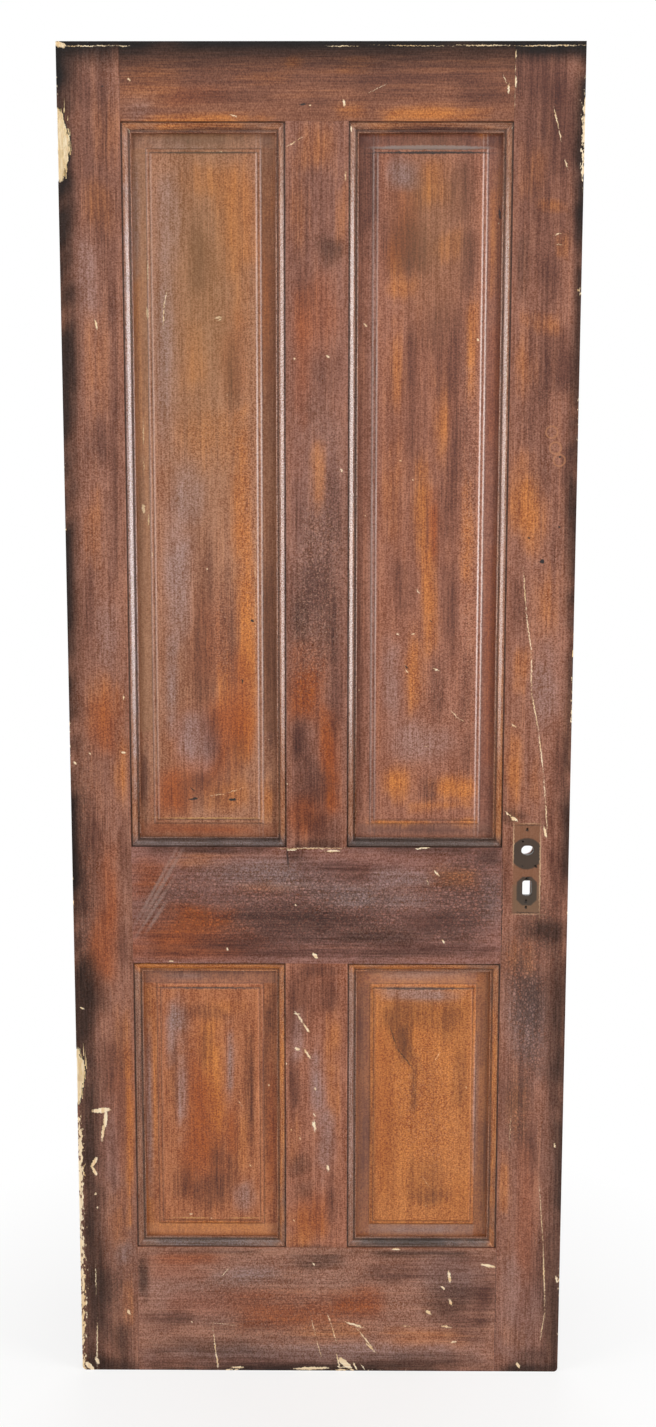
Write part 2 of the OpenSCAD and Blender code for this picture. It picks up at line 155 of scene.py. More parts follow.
# Matt white paper: plain diffuse, shown to the camera as white away from the leaf.
paper = bpy.data.materials.new("white_paper_floor")
paper.use_nodes = True
tree = paper.node_tree
tree.nodes.clear()
place = add(tree, "ShaderNodeTexCoord").outputs["Object"]
away = add(tree, "ShaderNodeVectorMath", {0: place}, operation="LENGTH").outputs["Value"]
clean = add(tree, "ShaderNodeMapRange",
            {0: away, 1: SHADOW_FROM, 2: SHADOW_TO, 3: 1 - SHADOW_SHARE, 4: 1.0})
seen = add(tree, "ShaderNodeLightPath").outputs["Is Camera Ray"]
share = add(tree, "ShaderNodeMath", {0: clean, 1: seen}, operation="MULTIPLY")
matt = add(tree, "ShaderNodeBsdfDiffuse", {"Color": linear("#f4f3f1")})
white = add(tree, "ShaderNodeEmission", {"Color": (1, 1, 1, 1), "Strength": 1.0})
both = add(tree, "ShaderNodeMixShader", {0: share, 1: matt, 2: white})
add(tree, "ShaderNodeOutputMaterial", {"Surface": both})
floor_mesh.materials.append(paper)

world = bpy.data.worlds.new("white_room")
bpy.context.scene.world = world
world.use_nodes = True
tree = world.node_tree
tree.nodes.clear()
path = add(tree, "ShaderNodeLightPath").outputs
mirrored = add(tree, "ShaderNodeMath", {0: path["Is Glossy Ray"], 1: path["Is Transmission Ray"]},
               operation="MAXIMUM")
plain = add(tree, "ShaderNodeMath", {0: path["Is Camera Ray"], 1: mirrored}, operation="MAXIMUM")
strength = add(tree, "ShaderNodeMapRange", {0: plain, 3: AMBIENT, 4: 1.0})
sky = add(tree, "ShaderNodeBackground", {"Color": (1, 1, 1, 1), "Strength": strength})
add(tree, "ShaderNodeOutputWorld", {"Surface": sky})
print("floor", 2 * FLOOR_HALF, "m wide, ambient light", AMBIENT)

# %% [markdown]
# One wide light hangs overhead, one stands behind the back, and a tall soft light stands on each
# side. The side lights stand beside the upper part, which is why the upper mouldings carry long
# pale highlights and the lower ones stay brown. Only the polished pieces, the mouldings and panels,
# mirror the side lights: light linking keeps them off the duller frame. So each side light is
# doubled: one is felt but never mirrored, and its glint, a little nearer so that neither hides the
# other, is mirrored but not felt.


# %% Soft lights
def softbox(name, at, toward, width, height, radiance):
    """A rectangular light that looks equally bright from every side."""
    data = bpy.data.lights.new(name, "AREA")
    data.shape = "RECTANGLE"
    data.size = width
    data.size_y = height
    data.energy = radiance * math.pi * width * height
    light = bpy.data.objects.new(name, data)
    light.location = at
    light.rotation_euler = (Vector(toward) - Vector(at)).to_track_quat("-Z", "Y").to_euler()
    bpy.context.scene.collection.objects.link(light)
    return light


SIDE_PLACE = (2.92, -1.3, 1.65)
SIDE_WIDTH, SIDE_HEIGHT = 1.75, 2.0
LEFT_RADIANCE, RIGHT_RADIANCE = 7.3, 10.3
SIDE_AIM = (0, 0, 1.5)
GLINT_STEP = 0.01
OVERHEAD_PLACE, OVERHEAD_AIM = (0, -2.6, 4.6), (0, 0, 0.9)
OVERHEAD_WIDTH, OVERHEAD_HEIGHT, OVERHEAD_RADIANCE = 3.4, 2.0, 1.6
BACK_PLACE, BACK_AIM = (0, 3.4, 2.6), (0, 0, 1.0)
BACK_WIDTH, BACK_HEIGHT, BACK_RADIANCE = 3.0, 2.4, 3.0

polished = bpy.data.collections.new("polished_pieces")
for name, side, radiance in (("left", -1, LEFT_RADIANCE), ("right", 1, RIGHT_RADIANCE)):
    place = (side * SIDE_PLACE[0], SIDE_PLACE[1], SIDE_PLACE[2])
    felt = softbox(name + "_softbox", place, SIDE_AIM, SIDE_WIDTH, SIDE_HEIGHT, radiance)
    felt.visible_glossy = False
    nearer = Vector(place).lerp(Vector(SIDE_AIM), GLINT_STEP)
    glint = softbox(name + "_glint", nearer, SIDE_AIM, SIDE_WIDTH, SIDE_HEIGHT, radiance)
    glint.visible_diffuse = False
    glint.light_linking.receiver_collection = polished
softbox("overhead_softbox", OVERHEAD_PLACE, OVERHEAD_AIM, OVERHEAD_WIDTH, OVERHEAD_HEIGHT,
        OVERHEAD_RADIANCE)
back_light = softbox("back_softbox", BACK_PLACE, BACK_AIM, BACK_WIDTH, BACK_HEIGHT, BACK_RADIANCE)
back_light.visible_glossy = False
print(len(bpy.data.lights), "soft lights")

# %% [markdown]
# A planed board never keeps knife edges: handling rounds its arrises by half a millimetre, and a
# joint between two boards shows as a fine dark line where both arrises are eased. Each board is a
# welded copy of its CAD node with its long sharp edges bevelled. Short edges, such as those round
# the holes, stay sharp.

# %% A solid with eased arrises
WELD = 1e-6
FLAT_ANGLE = math.radians(0.3)
SHARP_ANGLE = math.radians(25)
LONG_EDGE = 14 * MM


def merged_solid(node):
    """The CAD node's triangles welded into a closed solid of flat faces."""
    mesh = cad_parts[node].data.copy()
    if "custom_normal" in mesh.attributes:
        mesh.attributes.remove(mesh.attributes["custom_normal"])
    solid = bmesh.new()
    solid.from_mesh(mesh)
    bpy.data.meshes.remove(mesh)
    bmesh.ops.remove_doubles(solid, verts=solid.verts, dist=WELD)
    bmesh.ops.dissolve_limit(solid, angle_limit=FLAT_ANGLE, verts=solid.verts, edges=solid.edges)
    return solid


def ease_arrises(solid, arris):
    """Round over the long sharp edges."""
    folds = [edge for edge in solid.edges if len(edge.link_faces) == 2]
    sharp = [edge for edge in folds
             if edge.calc_face_angle() > SHARP_ANGLE and edge.calc_length() > LONG_EDGE]
    bmesh.ops.bevel(solid, geom=sharp, offset=arris, offset_type="OFFSET", segments=2, profile=0.5,
                    affect="EDGES", clamp_overlap=False)
    return len(sharp)


# %% [markdown]
# The finish will be brushed on as values at the corners of the mesh. A big flat face has too few
# corners for that, so each board is ruled into small squares by level and upright cuts. The rules
# run closer along the leaf's own edges, where soot and chips change within a few millimetres.

# %% Boards ruled into squares
RULE_STEP = 8 * MM
EDGE_RULES = (1.5 * MM, 4 * MM)


def rule_squares(solid):
    """Cut the solid by level and upright planes, with closer ones at the leaf's own edges."""
    for axis, low, high in ((0, cad_low.x, cad_high.x), (2, cad_low.z, cad_high.z)):
        values = [v.co[axis] for v in solid.verts]
        cuts = list(np.arange(low + RULE_STEP, high - RULE_STEP / 2, RULE_STEP))
        cuts += [low + inset for inset in EDGE_RULES] + [high - inset for inset in EDGE_RULES]
        normal = Vector((axis == 0, 0, axis == 2))
        for cut in cuts:
            if min(values) + WELD < cut < max(values) - WELD:
                bmesh.ops.bisect_plane(solid, geom=solid.verts[:] + solid.edges[:] + solid.faces[:],
                                       dist=WELD, plane_co=normal * cut, plane_no=normal)


def board(node, arris):
    """An eased and ruled copy of one CAD node, standing for it."""
    solid = merged_solid(node)
    eased = ease_arrises(solid, arris)
    rule_squares(solid)
    mesh = bpy.data.meshes.new(node + "_board")
    solid.to_mesh(mesh)
    solid.free()
    mesh.materials.clear()
    piece = bpy.data.objects.new(node + "_board", mesh)
    bpy.context.scene.collection.objects.link(piece)
    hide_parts(node)
    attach(piece, "root")
    print(node, eased, "arrises eased,", len(mesh.polygons), "faces")
    return piece


FRAME_ARRIS = 0.4 * MM
PANEL_ARRIS = 0.5 * MM
FRAME_NODES = ("hinge_stile", "lock_stile", "top_rail", "lock_rail", "bottom_rail",
               "upper_muntin", "lower_muntin")
PANEL_NODES = ("upper_hinge_panel", "upper_lock_panel", "lower_hinge_panel", "lower_lock_panel")
boards = {node: board(node, FRAME_ARRIS) for node in FRAME_NODES}
boards.update({node: board(node, PANEL_ARRIS) for node in PANEL_NODES})

# %% [markdown]
# Soot, sun and rubbing change the varnish in soft patches a hand or two across. They are brushed on
# as listed strokes: each stroke is a place on the face in millimetres from the hinge edge and from the
# top, a half width, a half height, a kind and a strength. The kinds are dark stain, worn orange, red
# stain, grey haze, black soot, crackle, chips and pebbled gloss. Eight kinds fit in two colour
# layers of four channels each, and strokes that overlap never add up to more than full cover.

# %% The brush
KINDS = {"dark": ("stain", 0), "orange": ("stain", 1), "grey": ("stain", 2), "black": ("stain", 3),
         "crackle": ("wear", 0), "chips": ("wear", 1), "pebble": ("wear", 2), "red": ("wear", 3)}
STAINS = ("orange", "red", "grey", "dark")
FULL_STAIN = 0.95
STROKE_CORE, STROKE_RIM = 0.25, 1.15
STROKE_ROUND = 2.6
WAVER, WAVER_LEAST = 0.22, 4


def wander(along, across, size):
    """A smooth wavering between -1 and 1 that makes a stroke's outline uneven."""
    slow = np.sin(along / size + 1.7 * np.sin(across / (1.3 * size) + 0.6))
    quick = np.sin(across / (0.45 * size) + 2.3 * np.sin(along / (0.8 * size)))
    return 0.65 * slow + 0.35 * quick


def lay_strokes(across, down, strokes, layers, load=1.0):
    """Add the strokes to the layers at the given places; a loaded brush stains more."""
    for middle_a, middle_d, half_a, half_d, kind, strength in strokes:
        uneven_a = across + WAVER * half_a * wander(down, across, half_d / 2 + WAVER_LEAST)
        uneven_d = down + WAVER * half_d * wander(across, down, half_a / 2 + WAVER_LEAST)
        reach = (np.abs((uneven_a - middle_a) / half_a) ** STROKE_ROUND
                 + np.abs((uneven_d - middle_d) / half_d) ** STROKE_ROUND) ** (1 / STROKE_ROUND)
        fade = np.clip((STROKE_RIM - reach) / (STROKE_RIM - STROKE_CORE), 0, 1)
        if kind in STAINS:
            strength = min(strength * load, FULL_STAIN)
        cover = strength * fade * fade * (3 - 2 * fade)
        layer, channel = KINDS[kind]
        layers[layer][:, channel] = 1 - (1 - layers[layer][:, channel]) * (1 - cover)


# %% [markdown]
# The photograph shows only the front. The back aged in the same room, so it gets a few strokes of
# the same kinds from a seeded draw, long along each board, and soot along the leaf's four edges.
# Every corner of a board then stores its two layers as colour attributes, which the shader reads.

# %% Strokes on a board
BACK_STROKES = 14
BACK_KINDS = ["dark", "dark", "orange", "orange", "red", "grey"]
BACK_SHORT, BACK_LONG = (14, 34), (60, 150)
BACK_STRENGTH = (0.2, 0.55)


def back_strokes(seed, low_a, high_a, low_d, high_d):
    """A few strokes of the common kinds, long along the board."""
    draw = np.random.default_rng(seed)
    wide, tall = high_a - low_a, high_d - low_d
    level = wide > tall
    strokes = []
    for _ in range(BACK_STROKES):
        short, long = draw.uniform(*BACK_SHORT), draw.uniform(*BACK_LONG)
        half_a, half_d = (long, short) if level else (short, long)
        kind = str(draw.choice(BACK_KINDS))
        strokes.append((draw.uniform(low_a, high_a), draw.uniform(low_d, high_d),
                        half_a, half_d, kind, draw.uniform(*BACK_STRENGTH)))
    return strokes


EDGE_SOOT = [(0, LEAF_H / 2, 16, LEAF_H, "black", 0.7), (LEAF_W, LEAF_H / 2, 14, LEAF_H, "black", 0.6),
             (LEAF_W / 2, 0, LEAF_W, 20, "black", 0.8), (LEAF_W / 2, LEAF_H, LEAF_W, 16, "black", 0.6),
             (0, LEAF_H / 2, 3, LEAF_H, "chips", 0.4), (LEAF_W, LEAF_H / 2, 3, LEAF_H, "chips", 0.4)]


def brush(piece, strokes, seed, load=1.0):
    """Store the stain and wear of every corner of a piece."""
    mesh = piece.data
    places = np.zeros(len(mesh.vertices) * 3)
    mesh.vertices.foreach_get("co", places)
    places = places.reshape(-1, 3) / MM
    across, down = places[:, 0] + LEAF_W / 2, LEAF_H - places[:, 2]
    behind = places[:, 1] > 0
    layers = {name: np.zeros((len(across), 4)) for name in ("stain", "wear")}
    backs = {name: np.zeros((len(across), 4)) for name in layers}
    lay_strokes(across, down, strokes, layers, load)
    drawn = back_strokes(seed, across.min(), across.max(), down.min(), down.max())
    lay_strokes(across, down, drawn + EDGE_SOOT, backs)
    for name, values in layers.items():
        values[behind] = backs[name][behind]
        layer = mesh.attributes.new(name, "FLOAT_COLOR", "POINT")
        layer.data.foreach_set("color", values.astype(np.float32).ravel())
    print(piece.name, len(strokes), "strokes on", len(across), "corners")


# %% [markdown]
# A scratch, a chip or a knock is too sharp for the brush. Each is a long or short oval on the face.
# A Mapping node turns the oval into a unit circle, and the distance from its middle says how far
# inside a point lies. The group keeps the larger of that answer and what it was handed, so marks
# are strung together. It clamps nothing itself: one clamp at the end of the string is enough, and
# keeps the shader small.

# %% A mark on the face
MARK_SHARP = 1.4

mark_group, given, out = new_group(
    "mark_on_face", "ShaderNodeTree",
    {"Place": "Vector", "Middle": "Vector", "Turn": "Vector", "Half size": "Vector", "Edge": "Float",
     "Marks": "Float"},
    {"Marks": "Float"})
oval = add(mark_group, "ShaderNodeMapping",
           {"Vector": given["Place"], "Location": given["Middle"], "Rotation": given["Turn"],
            "Scale": given["Half size"]}, vector_type="TEXTURE")
away = add(mark_group, "ShaderNodeVectorMath", {0: oval}, operation="LENGTH").outputs["Value"]
inside = add(mark_group, "ShaderNodeMath", {0: 1.0, 1: away}, operation="SUBTRACT")
depth = add(mark_group, "ShaderNodeMath", {0: inside, 1: given["Edge"], 2: 0.5}, operation="MULTIPLY_ADD")
kept = add(mark_group, "ShaderNodeMath", {0: depth, 1: given["Marks"]}, operation="MAXIMUM")
mark_group.links.new(kept.outputs[0], out.inputs["Marks"])
print(mark_group.name, len(mark_group.nodes), "nodes")


def on_face(across, down):
    """A place on the face in shader millimetres, from the hinge edge and from the top."""
    return (across - LEAF_W / 2, 0, LEAF_H - down)


def string_marks(tree, place, marks, sharp=MARK_SHARP):
    """The combined mask of a list of marks: two ends on the face and a half width."""
    mask = 0.0
    for from_a, from_d, to_a, to_d, half_width in marks:
        half_length = math.hypot(to_a - from_a, to_d - from_d) / 2 + half_width
        turn = math.atan2(to_d - from_d, to_a - from_a)
        mask = add(tree, "ShaderNodeGroup", {
            "Place": place, "Middle": on_face((from_a + to_a) / 2, (from_d + to_d) / 2),
            "Turn": (0, turn, 0), "Half size": (half_length, 1, half_width), "Edge": sharp * half_width,
            "Marks": mask}, node_tree=mark_group)
    return mask


# %% [markdown]
# The finish is old shellac over pine that was combed to look like a dearer wood. It gives the eye
# fine streaks along the board, a mottling of orange and purple-brown, a network of drying cracks
# and a pebbled gloss. Where it is knocked off, pale pine shows. All of this is one node group, and
# each board hands it its own ground colour, brushed layers and marks. It starts from five noises,
# each with its own width and length in millimetres. They are drawn a little coarser than life,
# because a pixel of the picture covers about a millimetre and a half.

# %% The grain of the aged varnish
FIGURE_MM = (16, 220)
MOTTLE_MM = (45, 90)
STREAK_MM = (3.2, 150)
FIBRE_MM = (1.6, 34)
RIPPLE_MM = (2.6, 2.2)

varnish, given, out = new_group(
    "aged_varnish", "ShaderNodeTree",
    {"Place": "Vector", "Ground": "Color", "Stain": "Color", "Soot": "Float", "Wear": "Color",
     "Red": "Float", "Comb": "Float", "Pale marks": "Float", "Dark marks": "Float"},
    {"Colour": "Color", "Roughness": "Float", "Height": "Float"})


def grain_noise(tree, place, size, detail=2.0):
    """Noise centred on nought, its patches so wide across the grain and so long along it."""
    wide, long = size
    scaled = add(tree, "ShaderNodeVectorMath", {0: place, 1: (1 / wide, 1 / wide, 1 / long)},
                 operation="MULTIPLY")
    noise = add(tree, "ShaderNodeTexNoise",
                {"Vector": scaled, "Scale": 1.0, "Detail": detail, "Roughness": 0.6})
    return add(tree, "ShaderNodeMath", {0: noise.outputs["Fac"], 1: 0.5}, operation="SUBTRACT")


figure = grain_noise(varnish, given["Place"], FIGURE_MM, 3.0)
mottle = grain_noise(varnish, given["Place"], MOTTLE_MM)
streak = grain_noise(varnish, given["Place"], STREAK_MM)
fibre = grain_noise(varnish, given["Place"], FIBRE_MM)
ripple = grain_noise(varnish, given["Place"], RIPPLE_MM, 1.0)
print(varnish.name, "has", len(varnish.nodes), "nodes so far")

# %% [markdown]
# A brushed patch must not end in a soft round edge. On old varnish it breaks up into streaks where
# it is neither full nor gone, so each patch gains or loses cover with the grain, most where its
# cover is one half. A little orange and a little dark also run along the figure everywhere. Each
# line of the list holds a kind, its cover, its pull at the edge and its pull everywhere.

# %% Patches of stain, haze and soot
TONES = {"dark": "#451a0b", "orange": "#b0642a", "red": "#8f410f", "grey": "#866a62",
         "black": "#140f0d"}
STREAK_SHARE, FIBRE_SHARE = 0.5, 0.3
stains = add(varnish, "ShaderNodeSeparateColor", {"Color": given["Stain"]}).outputs
wear = add(varnish, "ShaderNodeSeparateColor", {"Color": given["Wear"]}).outputs
uneven = add(varnish, "ShaderNodeMath", {0: streak, 1: STREAK_SHARE, 2: figure},
             operation="MULTIPLY_ADD")
uneven = add(varnish, "ShaderNodeMath", {0: fibre, 1: FIBRE_SHARE, 2: uneven},
             operation="MULTIPLY_ADD")
colour = given["Ground"]
patches = [("orange", stains["Green"], 2.4, 0.5), ("red", given["Red"], 2.0, 0.0),
           ("grey", stains["Blue"], 1.8, 0.0), ("dark", stains["Red"], -2.4, -0.5),
           ("black", given["Soot"], -1.6, 0.0)]
for kind, amount, pull, always in patches:
    room = add(varnish, "ShaderNodeMath", {0: 1.0, 1: amount}, operation="SUBTRACT")
    edge = add(varnish, "ShaderNodeMath", {0: amount, 1: room}, operation="MULTIPLY")
    reach = add(varnish, "ShaderNodeMath", {0: edge, 1: pull, 2: always}, operation="MULTIPLY_ADD")
    cover = add(varnish, "ShaderNodeMath", {0: uneven, 1: reach, 2: amount}, operation="MULTIPLY_ADD",
                use_clamp=True)
    colour = add(varnish, "ShaderNodeMix", {0: cover, 6: colour, 7: linear(TONES[kind])},
                 data_type="RGBA")

# %% [markdown]
# The combed streaks, the fibres and the rippled skin lighten and darken whatever lies there. They
# are summed into one tone, and the tone picks a factor between a dark and a light one. Red changes
# the least of the three channels, so that the streaks stay warm and the light end turns greyer: that
# pale grey end is partly paler grain and partly a painted sheen on the ripples of the skin.

# %% Streaks and ripple
# The light factor is partly paler grain and partly a painted sheen.
STREAK_DARK = (0.56, 0.36, 0.14, 1)
STREAK_PALE_AND_SHEEN = (1.48, 1.86, 2.26, 1)
RIPPLE_TONE, PEBBLE_RIPPLE = 2.0, 1.2
COMB_FIBRE = 1.4
FIGURE_TONE, MOTTLE_TONE = 0.4, 0.5
skin = add(varnish, "ShaderNodeMath", {0: wear["Blue"], 1: PEBBLE_RIPPLE, 2: RIPPLE_TONE},
           operation="MULTIPLY_ADD")
tone = add(varnish, "ShaderNodeMath", {0: ripple, 1: skin, 2: 0.5}, operation="MULTIPLY_ADD")
combed = add(varnish, "ShaderNodeMath", {0: fibre, 1: COMB_FIBRE, 2: streak}, operation="MULTIPLY_ADD")
tone = add(varnish, "ShaderNodeMath", {0: combed, 1: given["Comb"], 2: tone}, operation="MULTIPLY_ADD")
for layer, weight in ((figure, FIGURE_TONE), (mottle, MOTTLE_TONE)):
    tone = add(varnish, "ShaderNodeMath", {0: layer, 1: weight, 2: tone}, operation="MULTIPLY_ADD")
tone = add(varnish, "ShaderNodeClamp", {0: tone})
shade = add(varnish, "ShaderNodeMix", {0: tone, 6: STREAK_DARK, 7: STREAK_PALE_AND_SHEEN}, data_type="RGBA")
colour = add(varnish, "ShaderNodeMix", {0: 1.0, 6: colour, 7: shade}, data_type="RGBA",
             blend_type="MULTIPLY")

# %% [markdown]
# Old shellac dries into small plates with thin dark lines between them, and where it lies thick it
# stands up in small glossy grains. A Voronoi texture knows the distance to the edge of its plates,
# which draws the lines, and a fine noise makes the grains. The grains raise the relief, and their
# brightest tops are also mixed pale into the colour as a painted highlight. Both show only where
# they were brushed.

# %% Drying cracks and pebbled gloss
CRACK_MM = (4.4, 6.4)
CRACK_FROM, CRACK_TO, CRACK_TINT = 0.04, 0.3, 0.75
PEBBLE_MM = 2.6
PAINTED_GLINT_FROM, PAINTED_GLINT_TO = 0.56, 0.72
PAINTED_GLINT_COLOUR, PAINTED_GLINT_SHARE = "#cfa48d", 0.4
plate_scale = (1 / CRACK_MM[0], 1 / CRACK_MM[0], 1 / CRACK_MM[1])
plates = add(varnish, "ShaderNodeVectorMath", {0: given["Place"], 1: plate_scale}, operation="MULTIPLY")
cracks = add(varnish, "ShaderNodeTexVoronoi", {"Vector": plates, "Scale": 1.0, "Randomness": 0.9},
             feature="DISTANCE_TO_EDGE").outputs["Distance"]
cracked = add(varnish, "ShaderNodeMapRange", {0: cracks, 1: CRACK_FROM, 2: CRACK_TO, 3: 1.0, 4: 0.0})
cracked = add(varnish, "ShaderNodeMath", {0: cracked, 1: wear["Red"]}, operation="MULTIPLY")
crack_tint = add(varnish, "ShaderNodeMath", {0: cracked, 1: CRACK_TINT}, operation="MULTIPLY")
colour = add(varnish, "ShaderNodeMix", {0: crack_tint, 6: colour, 7: linear(TONES["black"])},
             data_type="RGBA")
# The grains' brightest tops are mixed pale into the colour: a painted highlight of glints.
grains = add(varnish, "ShaderNodeTexNoise",
             {"Vector": given["Place"], "Scale": 1 / PEBBLE_MM, "Detail": 1.0}).outputs["Fac"]
glint = add(varnish, "ShaderNodeMapRange", {0: grains, 1: PAINTED_GLINT_FROM, 2: PAINTED_GLINT_TO})
glint = add(varnish, "ShaderNodeMath", {0: glint, 1: wear["Blue"]}, operation="MULTIPLY")
painted_glint_cover = add(varnish, "ShaderNodeMath", {0: glint, 1: PAINTED_GLINT_SHARE}, operation="MULTIPLY")
colour = add(varnish, "ShaderNodeMix", {0: painted_glint_cover, 6: colour, 7: linear(PAINTED_GLINT_COLOUR)},
             data_type="RGBA")

# %% [markdown]
# Chips along the arrises, the drawn marks and a few specks lay the pine bare. None of them has a
# clean outline: a noise of flakes is cut at a limit that the brushed chips lower, and the marks are
# broken up by a finer noise. Dents are the other way round, dark marks that hold dirt.

# %% Bare pine and dents
FLAKE_MM = (3.5, 9)
FLAKE_LIMIT, CHIP_LIMIT_DROP, FLAKE_SHARP = 0.32, -0.42, 22.0
BREAK_MM = 2.4
BREAK_FROM, BREAK_TO, BREAK_DEPTH = 0.38, 0.7, 0.9
SPECK_MM = 34
SPECK_R, SPECK_CORE = 0.042, 0.6
PICK_FROM, PICK_TO, SPECK_COVER = 0.66, 0.72, 0.75
PINE_LIGHT, PINE_DARK, PINE_CONTRAST = "#f7ead0", "#dcb47a", 2.0
DENT_DIRT = "#140d0b"
flakes = grain_noise(varnish, given["Place"], FLAKE_MM)
limit = add(varnish, "ShaderNodeMath", {0: wear["Green"], 1: CHIP_LIMIT_DROP, 2: FLAKE_LIMIT},
            operation="MULTIPLY_ADD")
chips = add(varnish, "ShaderNodeMath", {0: flakes, 1: limit}, operation="SUBTRACT")
chips = add(varnish, "ShaderNodeMath", {0: chips, 1: FLAKE_SHARP}, operation="MULTIPLY", use_clamp=True)
bits = add(varnish, "ShaderNodeTexNoise",
           {"Vector": given["Place"], "Scale": 1 / BREAK_MM, "Detail": 2.0})
bits = add(varnish, "ShaderNodeMapRange",
           {0: bits.outputs["Fac"], 1: BREAK_FROM, 2: BREAK_TO, 3: 0.0, 4: BREAK_DEPTH})
scars = add(varnish, "ShaderNodeMath", {0: given["Pale marks"], 1: bits}, operation="SUBTRACT",
            use_clamp=True)
bare = add(varnish, "ShaderNodeMath", {0: chips, 1: scars}, operation="MAXIMUM")
speck = add(varnish, "ShaderNodeTexVoronoi",
            {"Vector": given["Place"], "Scale": 1 / SPECK_MM, "Randomness": 1.0})
spot = add(varnish, "ShaderNodeMapRange",
           {0: speck.outputs["Distance"], 1: SPECK_R, 2: SPECK_CORE * SPECK_R})
pick = add(varnish, "ShaderNodeMapRange",
           {0: speck.outputs["Color"], 1: PICK_FROM, 2: PICK_TO, 3: 0.0, 4: SPECK_COVER})
spot = add(varnish, "ShaderNodeMath", {0: spot, 1: pick}, operation="MULTIPLY")
bare = add(varnish, "ShaderNodeMath", {0: bare, 1: spot}, operation="MAXIMUM")
pine_tone = add(varnish, "ShaderNodeMath", {0: streak, 1: PINE_CONTRAST, 2: 0.5},
                operation="MULTIPLY_ADD", use_clamp=True)
pine = add(varnish, "ShaderNodeMix", {0: pine_tone, 6: linear(PINE_DARK), 7: linear(PINE_LIGHT)},
           data_type="RGBA")
colour = add(varnish, "ShaderNodeMix", {0: bare, 6: colour, 7: pine}, data_type="RGBA")
dents = add(varnish, "ShaderNodeMath", {0: given["Dark marks"], 1: 1.0}, operation="MULTIPLY",
            use_clamp=True)
colour = add(varnish, "ShaderNodeMix", {0: dents, 6: colour, 7: linear(DENT_DIRT)}, data_type="RGBA")
varnish.links.new(colour.outputs[2], out.inputs["Colour"])

# %% [markdown]
# The last two answers of the group are how rough the skin is and how high it stands. Bare wood and
# grey haze are dull. Fibres and grains rise a tenth of a millimetre, and cracks and chips sink in.

# %% Gloss and relief
GLOSS, DULLER = 0.32, 0.3
FIBRE_RISE, GRAIN_RISE, CRACK_FALL, CHIP_FALL = 0.12, 0.14, -0.12, -0.25
gloss = add(varnish, "ShaderNodeMath", {0: mottle, 1: DULLER, 2: GLOSS}, operation="MULTIPLY_ADD")
dull = add(varnish, "ShaderNodeMath", {0: bare, 1: stains["Blue"]}, operation="MAXIMUM")
gloss = add(varnish, "ShaderNodeMath", {0: dull, 1: DULLER, 2: gloss}, operation="MULTIPLY_ADD",
            use_clamp=True)
varnish.links.new(gloss.outputs[0], out.inputs["Roughness"])

rise = add(varnish, "ShaderNodeMath", {0: fibre, 1: FIBRE_RISE}, operation="MULTIPLY")
for layer, height in ((grains, GRAIN_RISE), (cracked, CRACK_FALL), (chips, CHIP_FALL)):
    rise = add(varnish, "ShaderNodeMath", {0: layer, 1: height, 2: rise}, operation="MULTIPLY_ADD")
varnish.links.new(rise.outputs[0], out.inputs["Height"])
print(varnish.name, len(varnish.nodes), "nodes")

# %% [markdown]
# One function makes the varnish of a board from its ground colour, its grain direction and its two
# lists of marks. The marks waver by a millimetre or so, as real scratches do, and show only on the
# front. A board whose grain runs level hands its place to the group with the axes swapped, and a
# moulding hands it the place along its own strip. An over-layer may change the finish at the end.

# %% A varnished material
RAGGED_MM = 4.0
RAGGED_BY = 2.2
VARNISH_IOR = 1.5
SHINE = 0.5
SOOT_DULL = 0.3


